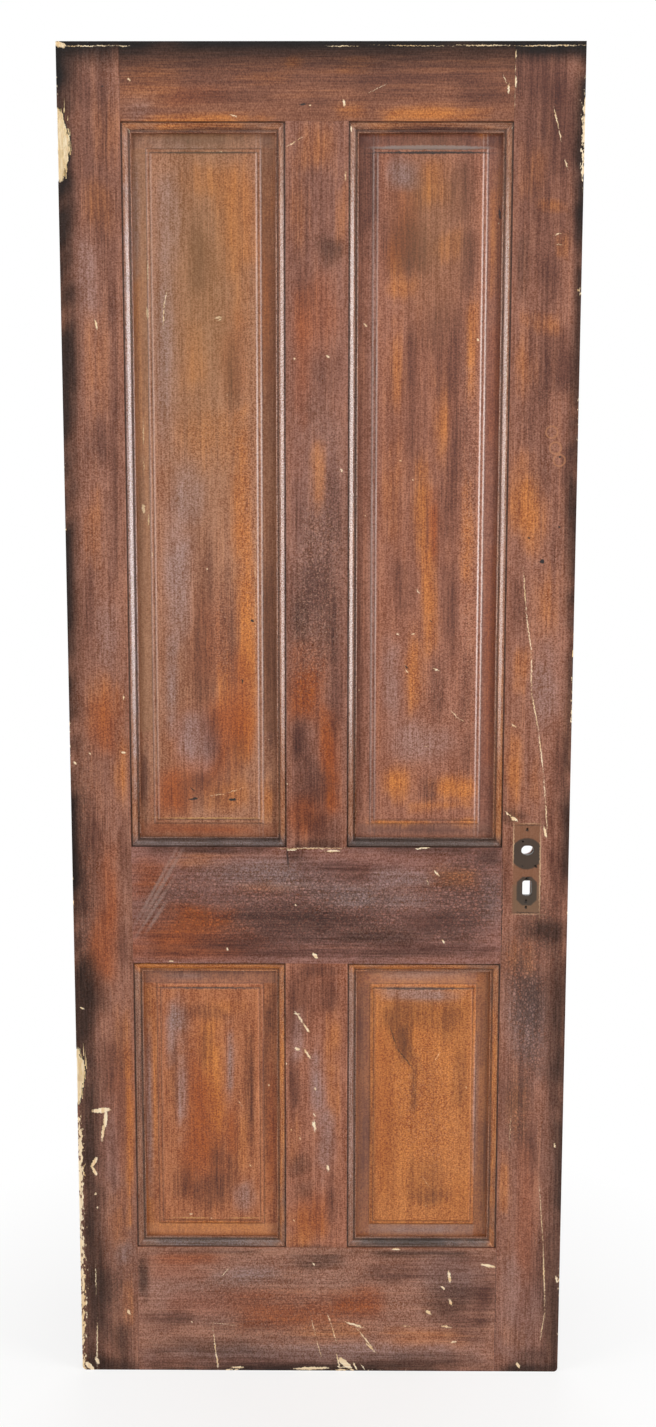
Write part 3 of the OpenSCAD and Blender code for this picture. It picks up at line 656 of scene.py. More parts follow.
def varnished(name, ground, pale=(), dark=(), level=False, strip=None, gloss=1.0, over=None,
              comb=0.9):
    """Shellac over combed pine: a glossy, streaked, worn brown skin."""
    material = bpy.data.materials.new(name)
    material.use_nodes = True
    tree = material.node_tree
    tree.nodes.clear()
    metres = add(tree, "ShaderNodeTexCoord").outputs["Object"]
    place = add(tree, "ShaderNodeVectorMath", {0: metres, 3: 1 / MM}, operation="SCALE").outputs[0]
    axes = add(tree, "ShaderNodeSeparateXYZ", {0: place}).outputs
    if strip:
        along = add(tree, "ShaderNodeAttribute", attribute_name=strip).outputs["Vector"]
    elif level:
        along = add(tree, "ShaderNodeCombineXYZ", {0: axes["Z"], 1: axes["Y"], 2: axes["X"]}).outputs[0]
    else:
        along = place
    front = add(tree, "ShaderNodeMath", {0: axes["Y"], 1: 0.0}, operation="LESS_THAN")
    flat = add(tree, "ShaderNodeCombineXYZ", {0: axes["X"], 2: axes["Z"]})
    waver = add(tree, "ShaderNodeTexNoise", {"Vector": flat, "Scale": 1 / RAGGED_MM, "Detail": 2.0})
    centred = add(tree, "ShaderNodeVectorMath", {0: waver.outputs["Color"], 1: (0.5, 0.5, 0.5)},
                  operation="SUBTRACT")
    centred = add(tree, "ShaderNodeVectorMath", {0: centred, 1: (2 * RAGGED_BY, 0, 2 * RAGGED_BY)},
                  operation="MULTIPLY")
    ragged = add(tree, "ShaderNodeVectorMath", {0: flat, 1: centred}, operation="ADD").outputs[0]
    masks = [add(tree, "ShaderNodeMath", {0: string_marks(tree, ragged, marks), 1: front},
                 operation="MULTIPLY") for marks in (pale, dark)]
    stain = add(tree, "ShaderNodeAttribute", attribute_name="stain").outputs
    wear = add(tree, "ShaderNodeAttribute", attribute_name="wear").outputs
    coat = add(tree, "ShaderNodeGroup", {
        "Place": along, "Ground": linear(ground), "Comb": comb, "Stain": stain["Color"],
        "Soot": stain["Alpha"], "Wear": wear["Color"], "Red": wear["Alpha"], "Pale marks": masks[0],
        "Dark marks": masks[1]}, node_tree=varnish).outputs
    shine = add(tree, "ShaderNodeMath", {0: stain["Alpha"], 1: -SOOT_DULL, 2: SHINE},
                operation="MULTIPLY_ADD")
    rubbed = add(tree, "ShaderNodeMath", {0: coat["Roughness"], 1: gloss}, operation="MULTIPLY")
    finish = {"Colour": coat["Colour"], "Roughness": rubbed.outputs[0], "Height": coat["Height"]}
    if over:
        over(tree, flat, ragged, front, finish)
    bump = add(tree, "ShaderNodeBump", {"Height": finish["Height"], "Strength": 1.0, "Distance": MM})
    skin = add(tree, "ShaderNodeBsdfPrincipled",
               {"Base Color": finish["Colour"], "Roughness": finish["Roughness"], "IOR": VARNISH_IOR,
                "Specular IOR Level": shine, "Normal": bump})
    add(tree, "ShaderNodeOutputMaterial", {"Surface": skin})
    return material


def dress(node, seed, ground, strokes, pale, dark=(), load=1.0, **looks):
    """Varnish a board and brush its strokes."""
    boards[node].data.materials.append(varnished("varnish_" + node, ground, pale, dark, **looks))
    brush(boards[node], strokes, seed, load)


# %% [markdown]
# Inside the hinge recesses, the lock pocket and the holes no varnish was ever laid. The wood there
# is bare pine, browned by age, with the saw and chisel marks left in it. The ends of the boards and
# of the tenons show end grain, which drinks dirt and goes darker.

# %% Bare and end-grain pine
BARE_W, BARE_L = 2.2, 60
PORE_MM = 1.8
PATCH_TIMES, BARE_CONTRAST, BARE_RELIEF, WOOD_IOR = 8, 0.3, 0.3 * MM, 1.5


def bare_wood(name, light, shade, wide, long, roughness):
    """Unfinished pine: dull, softly streaked and a little rough."""
    material = bpy.data.materials.new(name)
    material.use_nodes = True
    tree = material.node_tree
    tree.nodes.clear()
    metres = add(tree, "ShaderNodeTexCoord").outputs["Object"]
    place = add(tree, "ShaderNodeVectorMath", {0: metres, 3: 1 / MM}, operation="SCALE").outputs[0]
    fibre = grain_noise(tree, place, (wide, long), 3.0)
    patch = grain_noise(tree, place, (PATCH_TIMES * wide, long))
    both = add(tree, "ShaderNodeMath", {0: fibre, 1: patch}, operation="ADD")
    tone = add(tree, "ShaderNodeMapRange", {0: both, 1: -BARE_CONTRAST, 2: BARE_CONTRAST})
    colour = add(tree, "ShaderNodeMix", {0: tone, 6: linear(shade), 7: linear(light)}, data_type="RGBA")
    bump = add(tree, "ShaderNodeBump", {"Height": both, "Strength": 1.0, "Distance": BARE_RELIEF})
    skin = add(tree, "ShaderNodeBsdfPrincipled",
               {"Base Color": colour, "Roughness": roughness, "IOR": WOOD_IOR, "Normal": bump})
    add(tree, "ShaderNodeOutputMaterial", {"Surface": skin})
    return material


aged_pine = bare_wood("bare_aged_pine", "#b08a5e", "#6f5138", BARE_W, BARE_L, 0.8)
end_grain = bare_wood("pine_end_grain", "#7d6047", "#3d2c22", PORE_MM, PORE_MM, 0.85)
torn_pine = bare_wood("torn_pine", "#f4e0b4", "#d9b67e", BARE_W, BARE_L, 0.85)
wedge_pine = bare_wood("wedge_pine", "#a8835a", "#5c4330", PORE_MM, 5 * PORE_MM, 0.8)
print("bare woods:", ", ".join(wood.name for wood in (aged_pine, end_grain, torn_pine, wedge_pine)))

# %% [markdown]
# Some marks are neither bare wood nor dents: a painted shadow line under a step, a painted highlight
# along a step, a rubbed scrape, the ghost of a plate that kept the light off. They are tints laid
# over the finish. A tint needs to know how many millimetres inside its outline a point lies, which
# is simple for a box with cut corners, a disc and a ring, and the string of marks above gives it for
# anything long and thin.


# %% Outlines on the face
def apart(tree, place, across, down):
    """The distances of a place from a point on the face, sideways and up, both positive."""
    gap = add(tree, "ShaderNodeVectorMath", {0: place, 1: on_face(across, down)}, operation="SUBTRACT")
    return add(tree, "ShaderNodeVectorMath", {0: gap}, operation="ABSOLUTE").outputs[0]


def inside_plate(tree, gap, half_w, half_h, cut):
    """How far inside an upright plate with cut corners."""
    axes = add(tree, "ShaderNodeSeparateXYZ", {0: gap}).outputs
    side = add(tree, "ShaderNodeMath", {0: half_w, 1: axes["X"]}, operation="SUBTRACT")
    end = add(tree, "ShaderNodeMath", {0: half_h, 1: axes["Z"]}, operation="SUBTRACT")
    both = add(tree, "ShaderNodeMath", {0: side, 1: end}, operation="ADD")
    corner = add(tree, "ShaderNodeMath", {0: both, 1: math.sqrt(0.5), 2: -cut * math.sqrt(0.5)},
                 operation="MULTIPLY_ADD")
    near = add(tree, "ShaderNodeMath", {0: side, 1: end}, operation="MINIMUM")
    return add(tree, "ShaderNodeMath", {0: near, 1: corner}, operation="MINIMUM")


def near_value(tree, value, middle, half_width):
    """How far a value lies inside a band about a middle."""
    off = add(tree, "ShaderNodeMath", {0: value, 1: middle}, operation="SUBTRACT")
    off = add(tree, "ShaderNodeMath", {0: off}, operation="ABSOLUTE")
    return add(tree, "ShaderNodeMath", {0: half_width, 1: off}, operation="SUBTRACT")


def inside_ring(tree, gap, radius, half_width):
    """How far inside a ring."""
    away = add(tree, "ShaderNodeVectorMath", {0: gap}, operation="LENGTH").outputs["Value"]
    return near_value(tree, away, radius, half_width)


# %% [markdown]
# An over-layer is a function that changes a finish as its material is made. Each maker below returns
# one: tinted marks, tinted boxes, or darker lines in the two hollow corners of the steps round a
# panel's field. A board that needs several hands them over as one.

# %% Tints over the finish
TINT_SHARP = 1.2
BOX_SHARP, BOX_WAVER = 0.6, 0.3
# The two hollow corners of the steps are darkened with a dark brown line.
STEP_HOLLOWS, HOLLOW_HALF, STEP_WAVER = (35.0, 41.0), 0.8, 0.15
STEP_HOLLOW_DARK = "#1c120d"


def lay_tint(tree, finish, inside, front, tint, strength, sharp=TINT_SHARP):
    """Mix a tint into the finish where a point lies inside an outline."""
    edge = add(tree, "ShaderNodeMath", {0: inside, 1: sharp, 2: 0.5}, operation="MULTIPLY_ADD",
               use_clamp=True)
    cover = add(tree, "ShaderNodeMath", {0: edge, 1: front}, operation="MULTIPLY")
    cover = add(tree, "ShaderNodeMath", {0: cover, 1: strength}, operation="MULTIPLY")
    mixed = add(tree, "ShaderNodeMix", {0: cover, 6: finish["Colour"], 7: linear(tint)}, data_type="RGBA")
    finish["Colour"] = mixed.outputs[2]


def tinted_marks(layers):
    """An over-layer of tints: each has a colour, a strength, a sharpness and its marks."""
    def over(tree, flat, ragged, front, finish):
        for tint, strength, sharp, marks in layers:
            cover = string_marks(tree, ragged, marks, sharp)
            inside = add(tree, "ShaderNodeMath", {0: cover, 1: 0.5}, operation="SUBTRACT")
            lay_tint(tree, finish, inside, front, tint, strength, 1.0)
    return over


def inside_box(tree, place, low_a, low_d, high_a, high_d):
    """How far inside an upright box given by two corners on the face."""
    gap = apart(tree, place, (low_a + high_a) / 2, (low_d + high_d) / 2)
    return inside_plate(tree, gap, (high_a - low_a) / 2, (high_d - low_d) / 2, 0.0)


def tinted_boxes(layers):
    """An over-layer of tints in upright boxes: a colour, a strength, and two corners of each."""
    def over(tree, flat, ragged, front, finish):
        place = add(tree, "ShaderNodeMix", {0: BOX_WAVER, 4: flat, 5: ragged},
                    data_type="VECTOR").outputs[1]
        for tint, strength, *corners in layers:
            lay_tint(tree, finish, inside_box(tree, place, *corners), front, tint, strength, BOX_SHARP)
    return over


def step_dirt(opening, strength):
    """An over-layer that darkens the two hollow corners of the steps round a panel's field."""
    def over(tree, flat, ragged, front, finish):
        place = add(tree, "ShaderNodeMix", {0: STEP_WAVER, 4: flat, 5: ragged},
                    data_type="VECTOR").outputs[1]
        inset = inside_box(tree, place, *opening)
        for hollow in STEP_HOLLOWS:
            inside = near_value(tree, inset, hollow, HOLLOW_HALF)
            lay_tint(tree, finish, inside, 1.0, STEP_HOLLOW_DARK, strength)
    return over


def all_over(*overs):
    """Several over-layers as one."""
    def over(tree, flat, ragged, front, finish):
        for each in overs:
            each(tree, flat, ragged, front, finish)
    return over


# %% [markdown]
# The stiles are the two uprights. The hinge stile carries a band of soot along its edge and yellow
# chips low down. Where the hinges were wrenched off, the front arris is torn to ragged bare pine
# with a dark rim, which an over-layer paints: the same marks twice, once a little wider.

# %% Hinge stile
HINGE_STROKES = [
    (45, 0, 400, 56, "black", 1.0), (0, 50, 36, 60, "black", 1.0), (0, 150, 24, 90, "black", 1.0),
    (0, 260, 26, 110, "black", 0.95), (0, 470, 28, 200, "black", 0.95),
    (0, 800, 27, 260, "black", 0.95), (0, 1180, 26, 180, "black", 0.95),
    (8, 1430, 34, 110, "black", 0.85), (16, 1640, 22, 190, "black", 0.75),
    (20, 1890, 28, 200, "black", 0.75), (45, 2032, 60, 26, "black", 0.8),
    (50, 60, 36, 40, "dark", 0.35), (50, 180, 44, 160, "dark", 0.45), (70, 120, 20, 60, "orange", 0.25),
    (60, 225, 26, 50, "orange", 0.5), (40, 330, 20, 80, "grey", 0.35), (70, 330, 18, 90, "dark", 0.35),
    (50, 450, 18, 90, "orange", 0.3), (75, 470, 14, 110, "dark", 0.4), (50, 560, 34, 60, "dark", 0.45),
    (42, 690, 14, 70, "orange", 0.45), (72, 690, 16, 130, "dark", 0.35),
    (36, 820, 16, 80, "dark", 0.45), (62, 850, 22, 60, "grey", 0.3), (52, 960, 34, 60, "orange", 0.4),
    (56, 990, 32, 56, "red", 0.65), (78, 1060, 14, 60, "orange", 0.5), (45, 1060, 20, 60, "dark", 0.3),
    (34, 1150, 26, 60, "dark", 0.6), (58, 1240, 18, 90, "red", 0.5), (24, 1250, 30, 90, "dark", 0.35),
    (82, 1180, 12, 80, "dark", 0.45), (46, 1340, 28, 80, "red", 0.7), (80, 1340, 14, 50, "dark", 0.5),
    (36, 1410, 26, 40, "black", 0.4), (74, 1480, 16, 70, "orange", 0.45),
    (66, 1610, 28, 180, "red", 0.4), (50, 1620, 34, 180, "dark", 0.4), (50, 1520, 14, 60, "dark", 0.5),
    (80, 1640, 10, 190, "orange", 0.85), (52, 1660, 16, 110, "grey", 0.35),
    (58, 1780, 16, 60, "orange", 0.35), (70, 1830, 16, 26, "grey", 0.4),
    (45, 1900, 26, 60, "black", 0.5), (74, 1920, 14, 50, "orange", 0.35),
    (60, 1985, 30, 36, "black", 0.55), (0, 60, 4, 60, "chips", 0.55), (0, 640, 3, 330, "chips", 0.4),
    (0, 1010, 3, 70, "chips", 0.75), (0, 1260, 3, 120, "chips", 0.6), (1, 1450, 5, 60, "chips", 0.45),
    (0, 1700, 13, 180, "chips", 1.0), (0, 1920, 13, 200, "chips", 1.0),
    (20, 1300, 22, 400, "crackle", 0.5), (60, 1900, 60, 150, "crackle", 0.3),
    (50, 700, 50, 500, "pebble", 0.2),
]
HINGE_PALE = [
    (0, 3, 11, 6, 4), (7, 7, 88, 6.5, 0.9), (50, 390, 53, 402, 1.6), (30, 1032, 31, 1033, 1.6),
    (7, 1046, 8, 1047, 2.4), (79, 1030, 83, 1031, 1.8), (83, 944, 83.5, 950, 1.2),
    (8, 1431, 13, 1434, 1.6), (27, 1599, 49, 1597, 4.2), (45, 1600, 43, 1624, 3.2),
    (41, 1622, 38, 1646, 2.4), (29, 1676, 21, 1690, 2.8), (21, 1690, 28, 1704, 2.4),
    (7, 2022, 16, 2030, 4), (26, 1735, 26, 1736, 1.6), (29, 1758, 29, 1759, 1.6),
    (24, 1856, 24, 1900, 0.8), (25, 1950, 23, 2026, 1), (75, 1932, 77, 1936, 2.4),
    (22, 2012, 25, 2020, 2.6),
]
HINGE_DARK = [(66, 62, 67, 62, 1)]
TEARS = [(1, 103, 2, 182, 10.5), (4, 125, 5, 165, 13.5), (0, 1503, 1, 1578, 8), (2, 1520, 2, 1550, 11)]
TEAR_RAGGED_MM, TEAR_RAGGED_BY = 9.0, 13.0
TEAR_RIM, TEAR_EDGE_DARK = 2.2, "#1d1512"
TEAR_FIBRE_MM, TEAR_DULL, TEAR_RIDGE = (1.8, 40), 0.45, 0.8
TEAR_DARK, TEAR_LIGHT, TEAR_CONTRAST, TEAR_MIDDLE = "#cfa468", "#fdf0d2", 2.0, 0.55


def torn_patches(tree, flat, ragged, front, finish):
    """Where the hinges were wrenched off, the front arris is ragged bare pine."""
    reach = add(tree, "ShaderNodeTexNoise", {"Vector": flat, "Scale": 1 / TEAR_RAGGED_MM, "Detail": 3.0})
    centred = add(tree, "ShaderNodeVectorMath", {0: reach.outputs["Color"], 1: (0.5, 0.5, 0.5)},
                  operation="SUBTRACT")
    pulled = add(tree, "ShaderNodeVectorMath", {0: centred, 1: (TEAR_RAGGED_BY, 0, TEAR_RAGGED_BY)},
                 operation="MULTIPLY")
    torn = add(tree, "ShaderNodeVectorMath", {0: flat, 1: pulled}, operation="ADD").outputs[0]
    # A dark rim, a little wider than each tear, is laid first.
    rim = string_marks(tree, torn, [(a0, d0, a1, d1, half + TEAR_RIM) for a0, d0, a1, d1, half in TEARS])
    bed = string_marks(tree, torn, TEARS)
    rim = add(tree, "ShaderNodeMath", {0: rim, 1: front}, operation="MULTIPLY", use_clamp=True)
    bed = add(tree, "ShaderNodeMath", {0: bed, 1: front}, operation="MULTIPLY", use_clamp=True)
    rim_darkened = add(tree, "ShaderNodeMix", {0: rim, 6: finish["Colour"], 7: linear(TEAR_EDGE_DARK)},
                data_type="RGBA")
    fibre = grain_noise(tree, flat, TEAR_FIBRE_MM, 3.0)
    tone = add(tree, "ShaderNodeMath", {0: fibre, 1: TEAR_CONTRAST, 2: TEAR_MIDDLE},
               operation="MULTIPLY_ADD", use_clamp=True)
    pine = add(tree, "ShaderNodeMix", {0: tone, 6: linear(TEAR_DARK), 7: linear(TEAR_LIGHT)},
               data_type="RGBA")
    torn_colour = add(tree, "ShaderNodeMix", {0: bed, 6: rim_darkened, 7: pine}, data_type="RGBA")
    finish["Colour"] = torn_colour.outputs[2]
    dull = add(tree, "ShaderNodeMath", {0: bed, 1: TEAR_DULL, 2: finish["Roughness"]},
               operation="MULTIPLY_ADD", use_clamp=True)
    finish["Roughness"] = dull.outputs[0]
    ridge = add(tree, "ShaderNodeMath", {0: fibre, 1: bed}, operation="MULTIPLY")
    finish["Height"] = add(tree, "ShaderNodeMath", {0: ridge, 1: TEAR_RIDGE, 2: finish["Height"]},
                           operation="MULTIPLY_ADD").outputs[0]


dress("hinge_stile", 1, "#885641", HINGE_STROKES, HINGE_PALE, HINGE_DARK, over=torn_patches)

# %% [markdown]
# The lock stile carries the long scratch beside the knob, chips along its edge and a paler foot.
# A plate once covered the knob hole and the keyhole. Its stained outline, a darker rose and keyplate
# inside it and three ring dents higher up are tints over the finish.

# %% Lock stile
LOCK_STROKES = [
    (711, 0, 400, 27, "black", 1.0), (762, 130, 20, 200, "black", 0.95),
    (762, 420, 15, 300, "black", 0.8), (762, 700, 20, 180, "black", 0.8),
    (762, 960, 16, 160, "black", 0.7), (762, 1160, 24, 120, "black", 0.85),
    (758, 1430, 34, 170, "black", 0.75), (760, 1680, 24, 190, "black", 0.75),
    (756, 1930, 24, 140, "black", 0.75), (750, 1760, 24, 500, "black", 0.2),
    (711, 2032, 70, 20, "black", 0.85), (700, 44, 60, 50, "dark", 0.75),
    (724, 110, 34, 80, "dark", 0.7), (705, 180, 56, 180, "dark", 0.55),
    (690, 180, 22, 50, "orange", 0.35), (714, 228, 26, 12, "orange", 0.5),
    (735, 280, 14, 22, "orange", 0.5), (676, 310, 14, 60, "black", 0.35),
    (720, 330, 22, 50, "dark", 0.5), (705, 395, 34, 20, "orange", 0.45),
    (732, 452, 28, 50, "dark", 0.7), (705, 520, 60, 220, "dark", 0.25),
    (684, 460, 18, 50, "orange", 0.35), (712, 470, 14, 60, "dark", 0.5),
    (690, 540, 22, 40, "dark", 0.3), (690, 655, 30, 80, "orange", 0.75),
    (744, 600, 12, 40, "dark", 0.6), (735, 720, 18, 60, "dark", 0.3),
    (720, 800, 20, 60, "orange", 0.35), (676, 800, 14, 60, "dark", 0.35),
    (720, 930, 26, 80, "grey", 0.4), (684, 900, 16, 40, "orange", 0.45),
    (675, 1060, 16, 70, "orange", 0.65), (746, 1050, 14, 80, "dark", 0.6),
    (705, 1080, 14, 50, "orange", 0.35), (676, 1128, 20, 12, "black", 0.6),
    (735, 1130, 16, 30, "dark", 0.4), (742, 1215, 20, 80, "dark", 0.6), (668, 1220, 8, 80, "dark", 0.5),
    (724, 1305, 40, 24, "black", 0.65), (690, 1350, 26, 34, "orange", 0.3),
    (700, 1450, 40, 90, "grey", 0.45), (720, 1420, 30, 60, "black", 0.35),
    (690, 1560, 28, 60, "dark", 0.4), (690, 1600, 22, 60, "orange", 0.25),
    (715, 1660, 22, 60, "dark", 0.5), (672, 1720, 10, 70, "orange", 0.75),
    (704, 1770, 18, 200, "red", 0.4), (725, 1850, 16, 90, "dark", 0.45),
    (690, 1870, 26, 50, "grey", 0.3), (690, 1970, 26, 30, "orange", 0.3),
    (705, 1950, 50, 90, "grey", 0.3), (705, 1960, 60, 90, "dark", 0.2),
    (720, 2005, 30, 20, "black", 0.45), (761, 140, 6, 105, "chips", 0.95),
    (760, 350, 5, 12, "chips", 0.95), (762, 560, 3, 160, "chips", 0.5),
    (762, 960, 4, 220, "chips", 0.6), (762, 1300, 3, 160, "chips", 0.45),
    (762, 1850, 5, 180, "chips", 0.6), (700, 1430, 44, 130, "crackle", 0.9),
    (720, 1300, 44, 70, "crackle", 0.6), (710, 700, 50, 500, "pebble", 0.3),
    (690, 1590, 30, 90, "crackle", 0.6),
]
LOCK_PALE = [
    (661, 13, 660, 24, 1.1), (660, 30, 660, 48, 0.6), (661, 50, 661, 62, 1.8), (660, 66, 660, 95, 0.6),
    (660, 7, 757, 6, 0.9), (717, 93, 725, 123, 0.9), (725, 123, 728, 137, 1.1),
    (734, 163, 738, 175, 0.9), (685, 758, 690, 817, 0.8), (690, 817, 699, 877, 0.9),
    (699, 877, 700, 937, 0.9), (700, 937, 712, 997, 1), (712, 997, 721, 1064, 0.9),
    (721, 1064, 725, 1110, 0.8), (725, 1110, 728, 1150, 0.9), (671, 986, 677, 990, 1.3),
    (663, 1120, 672, 1128, 1), (674, 1130, 681, 1134, 2.6), (723, 1144, 727, 1160, 2),
    (727, 1718, 735, 1820, 0.6), (735, 1820, 740, 1928, 0.9), (740, 1928, 733, 1981, 0.7),
    (680, 1611, 679, 1654, 0.5), (749, 1650, 751, 1656, 1.6), (697, 2018, 700, 2024, 2.4),
    (757, 1872, 758, 1880, 2), (722, 269, 732, 266, 0.7), (724, 283, 733, 282, 0.6),
]
LOCK_DARK = [(712, 741, 712.5, 741, 2.9), (737, 690, 737.5, 690, 1.2), (735, 587, 736, 587, 1),
             (661, 1190, 661, 1350, 0.6), (661, 1840, 661, 2000, 0.3)]

PLATE, PLATE_CUT, PLATE_BROWN, PLATE_COVER = (697.5, 1209, 20.5, 70), 1.0, "#774f35", 0.8
PLATE_FOOT, FOOT_BROWN, FOOT_COVER, FOOT_SHARP = (697.5, 1261, 20.5, 26), "#6b5540", 0.6, 0.2
ROSETTE = (697.5, 1186, 24.5)
KEY_PLATE = (698.5, 1244.5, 15.5, 22.5, 8.5)
ROSE_BROWN, KEY_BROWN, ROSE_COVER, ROSE_SHARP = "#322a22", "#352d25", 0.9, 0.5
RING_DENTS = [(723, 551, 8.5), (729, 574, 8.5), (735, 592, 8.5)]
RING_HALF, RING_LIGHT, RING_COVER, RING_SHARP = 1.1, "#b98058", 0.45, 0.8
PLATE_EDGES = [(677, 1142, 677, 1200, 0.9), (718, 1150, 718.5, 1272, 1.0), (690, 1139, 712, 1139, 0.5),
               (681, 1281, 714, 1281, 0.5)]
PLATE_PITS = [(697.5, 1149, 698, 1149, 2.0), (712.5, 1207, 713, 1207, 1.7),
              (699, 1224.5, 699.5, 1224.5, 2.6), (697, 1262, 697.5, 1262, 1.9),
              (697.5, 1271, 698, 1271, 1.7), (691, 1205, 691.5, 1205, 1.3),
              (680, 1142, 714, 1142, 0.5), (680, 1278, 715, 1278, 0.6), (692, 706, 693, 706, 1.6)]
PLATE_TINTS = [("#d8b791", 0.6, 1.0, PLATE_EDGES), ("#1a130f", 0.9, 1.2, PLATE_PITS)]


def plate_ghosts(tree, flat, ragged, front, finish):
    """The stained outlines of a lost lock plate, its knob rose and its keyplate, and old ring dents."""
    place = add(tree, "ShaderNodeMix", {0: BOX_WAVER, 4: flat, 5: ragged}, data_type="VECTOR").outputs[1]
    plate = inside_plate(tree, apart(tree, place, *PLATE[:2]), *PLATE[2:], PLATE_CUT)
    lay_tint(tree, finish, plate, front, PLATE_BROWN, PLATE_COVER)
    foot = inside_plate(tree, apart(tree, place, *PLATE_FOOT[:2]), *PLATE_FOOT[2:], PLATE_CUT)
    foot = add(tree, "ShaderNodeMath", {0: plate, 1: foot}, operation="MINIMUM")
    lay_tint(tree, finish, foot, front, FOOT_BROWN, FOOT_COVER, FOOT_SHARP)
    rose = inside_ring(tree, apart(tree, place, *ROSETTE[:2]), 0.0, ROSETTE[2])
    rose = add(tree, "ShaderNodeMath", {0: rose, 1: plate}, operation="MINIMUM")
    lay_tint(tree, finish, rose, front, ROSE_BROWN, ROSE_COVER, ROSE_SHARP)
    key = inside_plate(tree, apart(tree, place, *KEY_PLATE[:2]), *KEY_PLATE[2:])
    lay_tint(tree, finish, key, front, KEY_BROWN, ROSE_COVER, ROSE_SHARP)
    for across, down, radius in RING_DENTS:
        ring = inside_ring(tree, apart(tree, place, across, down), radius, RING_HALF)
        lay_tint(tree, finish, ring, front, RING_LIGHT, RING_COVER, RING_SHARP)
    tinted_marks(PLATE_TINTS)(tree, flat, ragged, front, finish)


dress("lock_stile", 2, "#885540", LOCK_STROKES, LOCK_PALE, LOCK_DARK, over=plate_ghosts)

# %% [markdown]
# The three rails lie level between the stiles, so their grain runs level too. Soot has blackened
# the upper edge of the top rail.

# %% Top rail
TOP_STROKES = [
    (380, 0, 1500, 58, "black", 1.0), (380, 46, 900, 24, "dark", 0.4), (342, 28, 16, 10, "orange", 0.6),
    (430, 34, 40, 12, "orange", 0.35), (205, 107, 112, 8, "orange", 0.75),
    (540, 101, 84, 13, "orange", 0.8), (425, 96, 30, 15, "orange", 0.5),
    (140, 60, 50, 30, "orange", 0.3), (120, 92, 30, 24, "grey", 0.3), (240, 74, 110, 12, "dark", 0.3),
    (200, 76, 60, 14, "red", 0.4), (300, 50, 50, 12, "orange", 0.25), (480, 62, 80, 22, "dark", 0.45),
    (610, 70, 54, 28, "dark", 0.5), (380, 80, 30, 14, "dark", 0.35),
]
TOP_PALE = [
    (91, 7, 107, 6.5, 0.8), (393, 7, 430, 7, 0.9), (470, 6, 560, 7, 0.7), (575, 6, 660, 6.5, 0.9),
    (414, 82, 415, 89, 1.8), (251, 101, 259, 104, 1.3), (473, 60, 450, 71, 0.4),
    (643, 47, 649, 59, 0.7), (651, 60, 651, 71, 1.5), (104, 52, 106, 54, 1.1), (365, 88, 367, 88, 1.1),
]
TOP_DARK = [(352, 87, 358, 87, 1.4)]
dress("top_rail", 3, "#7b4830", TOP_STROKES, TOP_PALE, TOP_DARK, level=True, comb=0.75)

# %% [markdown]
# The lock rail stands at hand height. Hands have crazed it into fine dark plates, and something has
# scraped it on the left, which a soft pale tint shows. A loaded brush makes its patches stronger.

# %% Lock rail
LOCK_RAIL_STROKES = [
    (120, 1225, 36, 40, "red", 0.5), (190, 1200, 50, 16, "orange", 0.35),
    (300, 1215, 110, 30, "grey", 0.55), (300, 1240, 60, 12, "orange", 0.3),
    (190, 1285, 76, 22, "red", 0.8), (120, 1320, 40, 30, "dark", 0.2), (170, 1325, 120, 34, "red", 0.7),
    (330, 1290, 130, 30, "dark", 0.65), (250, 1328, 90, 14, "dark", 0.4),
    (345, 1192, 22, 14, "black", 0.6), (420, 1210, 80, 20, "dark", 0.5),
    (430, 1250, 70, 24, "grey", 0.5), (500, 1225, 60, 20, "grey", 0.4),
    (480, 1318, 150, 16, "black", 0.55), (560, 1290, 80, 20, "dark", 0.5),
    (590, 1225, 50, 22, "orange", 0.4), (505, 1262, 60, 16, "grey", 0.35),
    (642, 1262, 20, 50, "grey", 0.3), (640, 1190, 26, 16, "black", 0.6),
    (210, 1180, 124, 7, "black", 0.7), (540, 1180, 124, 7, "black", 0.6),
    (380, 1340, 400, 14, "dark", 0.5), (520, 1345, 120, 10, "black", 0.45),
    (200, 1345, 100, 9, "red", 0.5), (400, 1260, 260, 90, "crackle", 0.75),
    (600, 1260, 70, 90, "crackle", 0.7), (200, 1260, 120, 90, "crackle", 0.5),
    (380, 1260, 300, 90, "pebble", 0.35),
]
LOCK_RAIL_PALE = [
    (323, 1179, 417, 1178, 0.9), (332, 1181, 345, 1181, 1.3), (390, 1183, 412, 1182, 1.4),
    (527, 1179, 550, 1176, 1.7), (556, 1213, 563, 1220, 1.3), (371, 1345, 375, 1350, 2.6),
    (237, 1336, 238, 1338, 1.4), (343, 1267, 344, 1268, 1.1), (570, 1322, 572, 1326, 1.5),
    (148, 1357, 153, 1357, 1.2), (545, 1228, 548, 1236, 0.6),
]
RAIL_LOAD = 1.2
SCRAPES = [(166, 1187, 112, 1282, 3), (156, 1188, 102, 1286, 2.4), (148, 1238, 100, 1312, 2.4),
           (140, 1268, 116, 1306, 2.6)]
SCRAPE_SHARP = 0.35
LOCK_RAIL_TINTS = [("#a48d83", 0.35, SCRAPE_SHARP, SCRAPES),
                   ("#2a1f1d", 0.8, 1.0, [(330, 1181, 332, 1206, 1.5)])]
dress("lock_rail", 4, "#835446", LOCK_RAIL_STROKES, LOCK_RAIL_PALE, load=RAIL_LOAD, level=True, comb=0.85,
      over=tinted_marks(LOCK_RAIL_TINTS))

# %% [markdown]
# Shoes and brooms have scarred the bottom rail, and damp has greyed and blackened its lower edge.

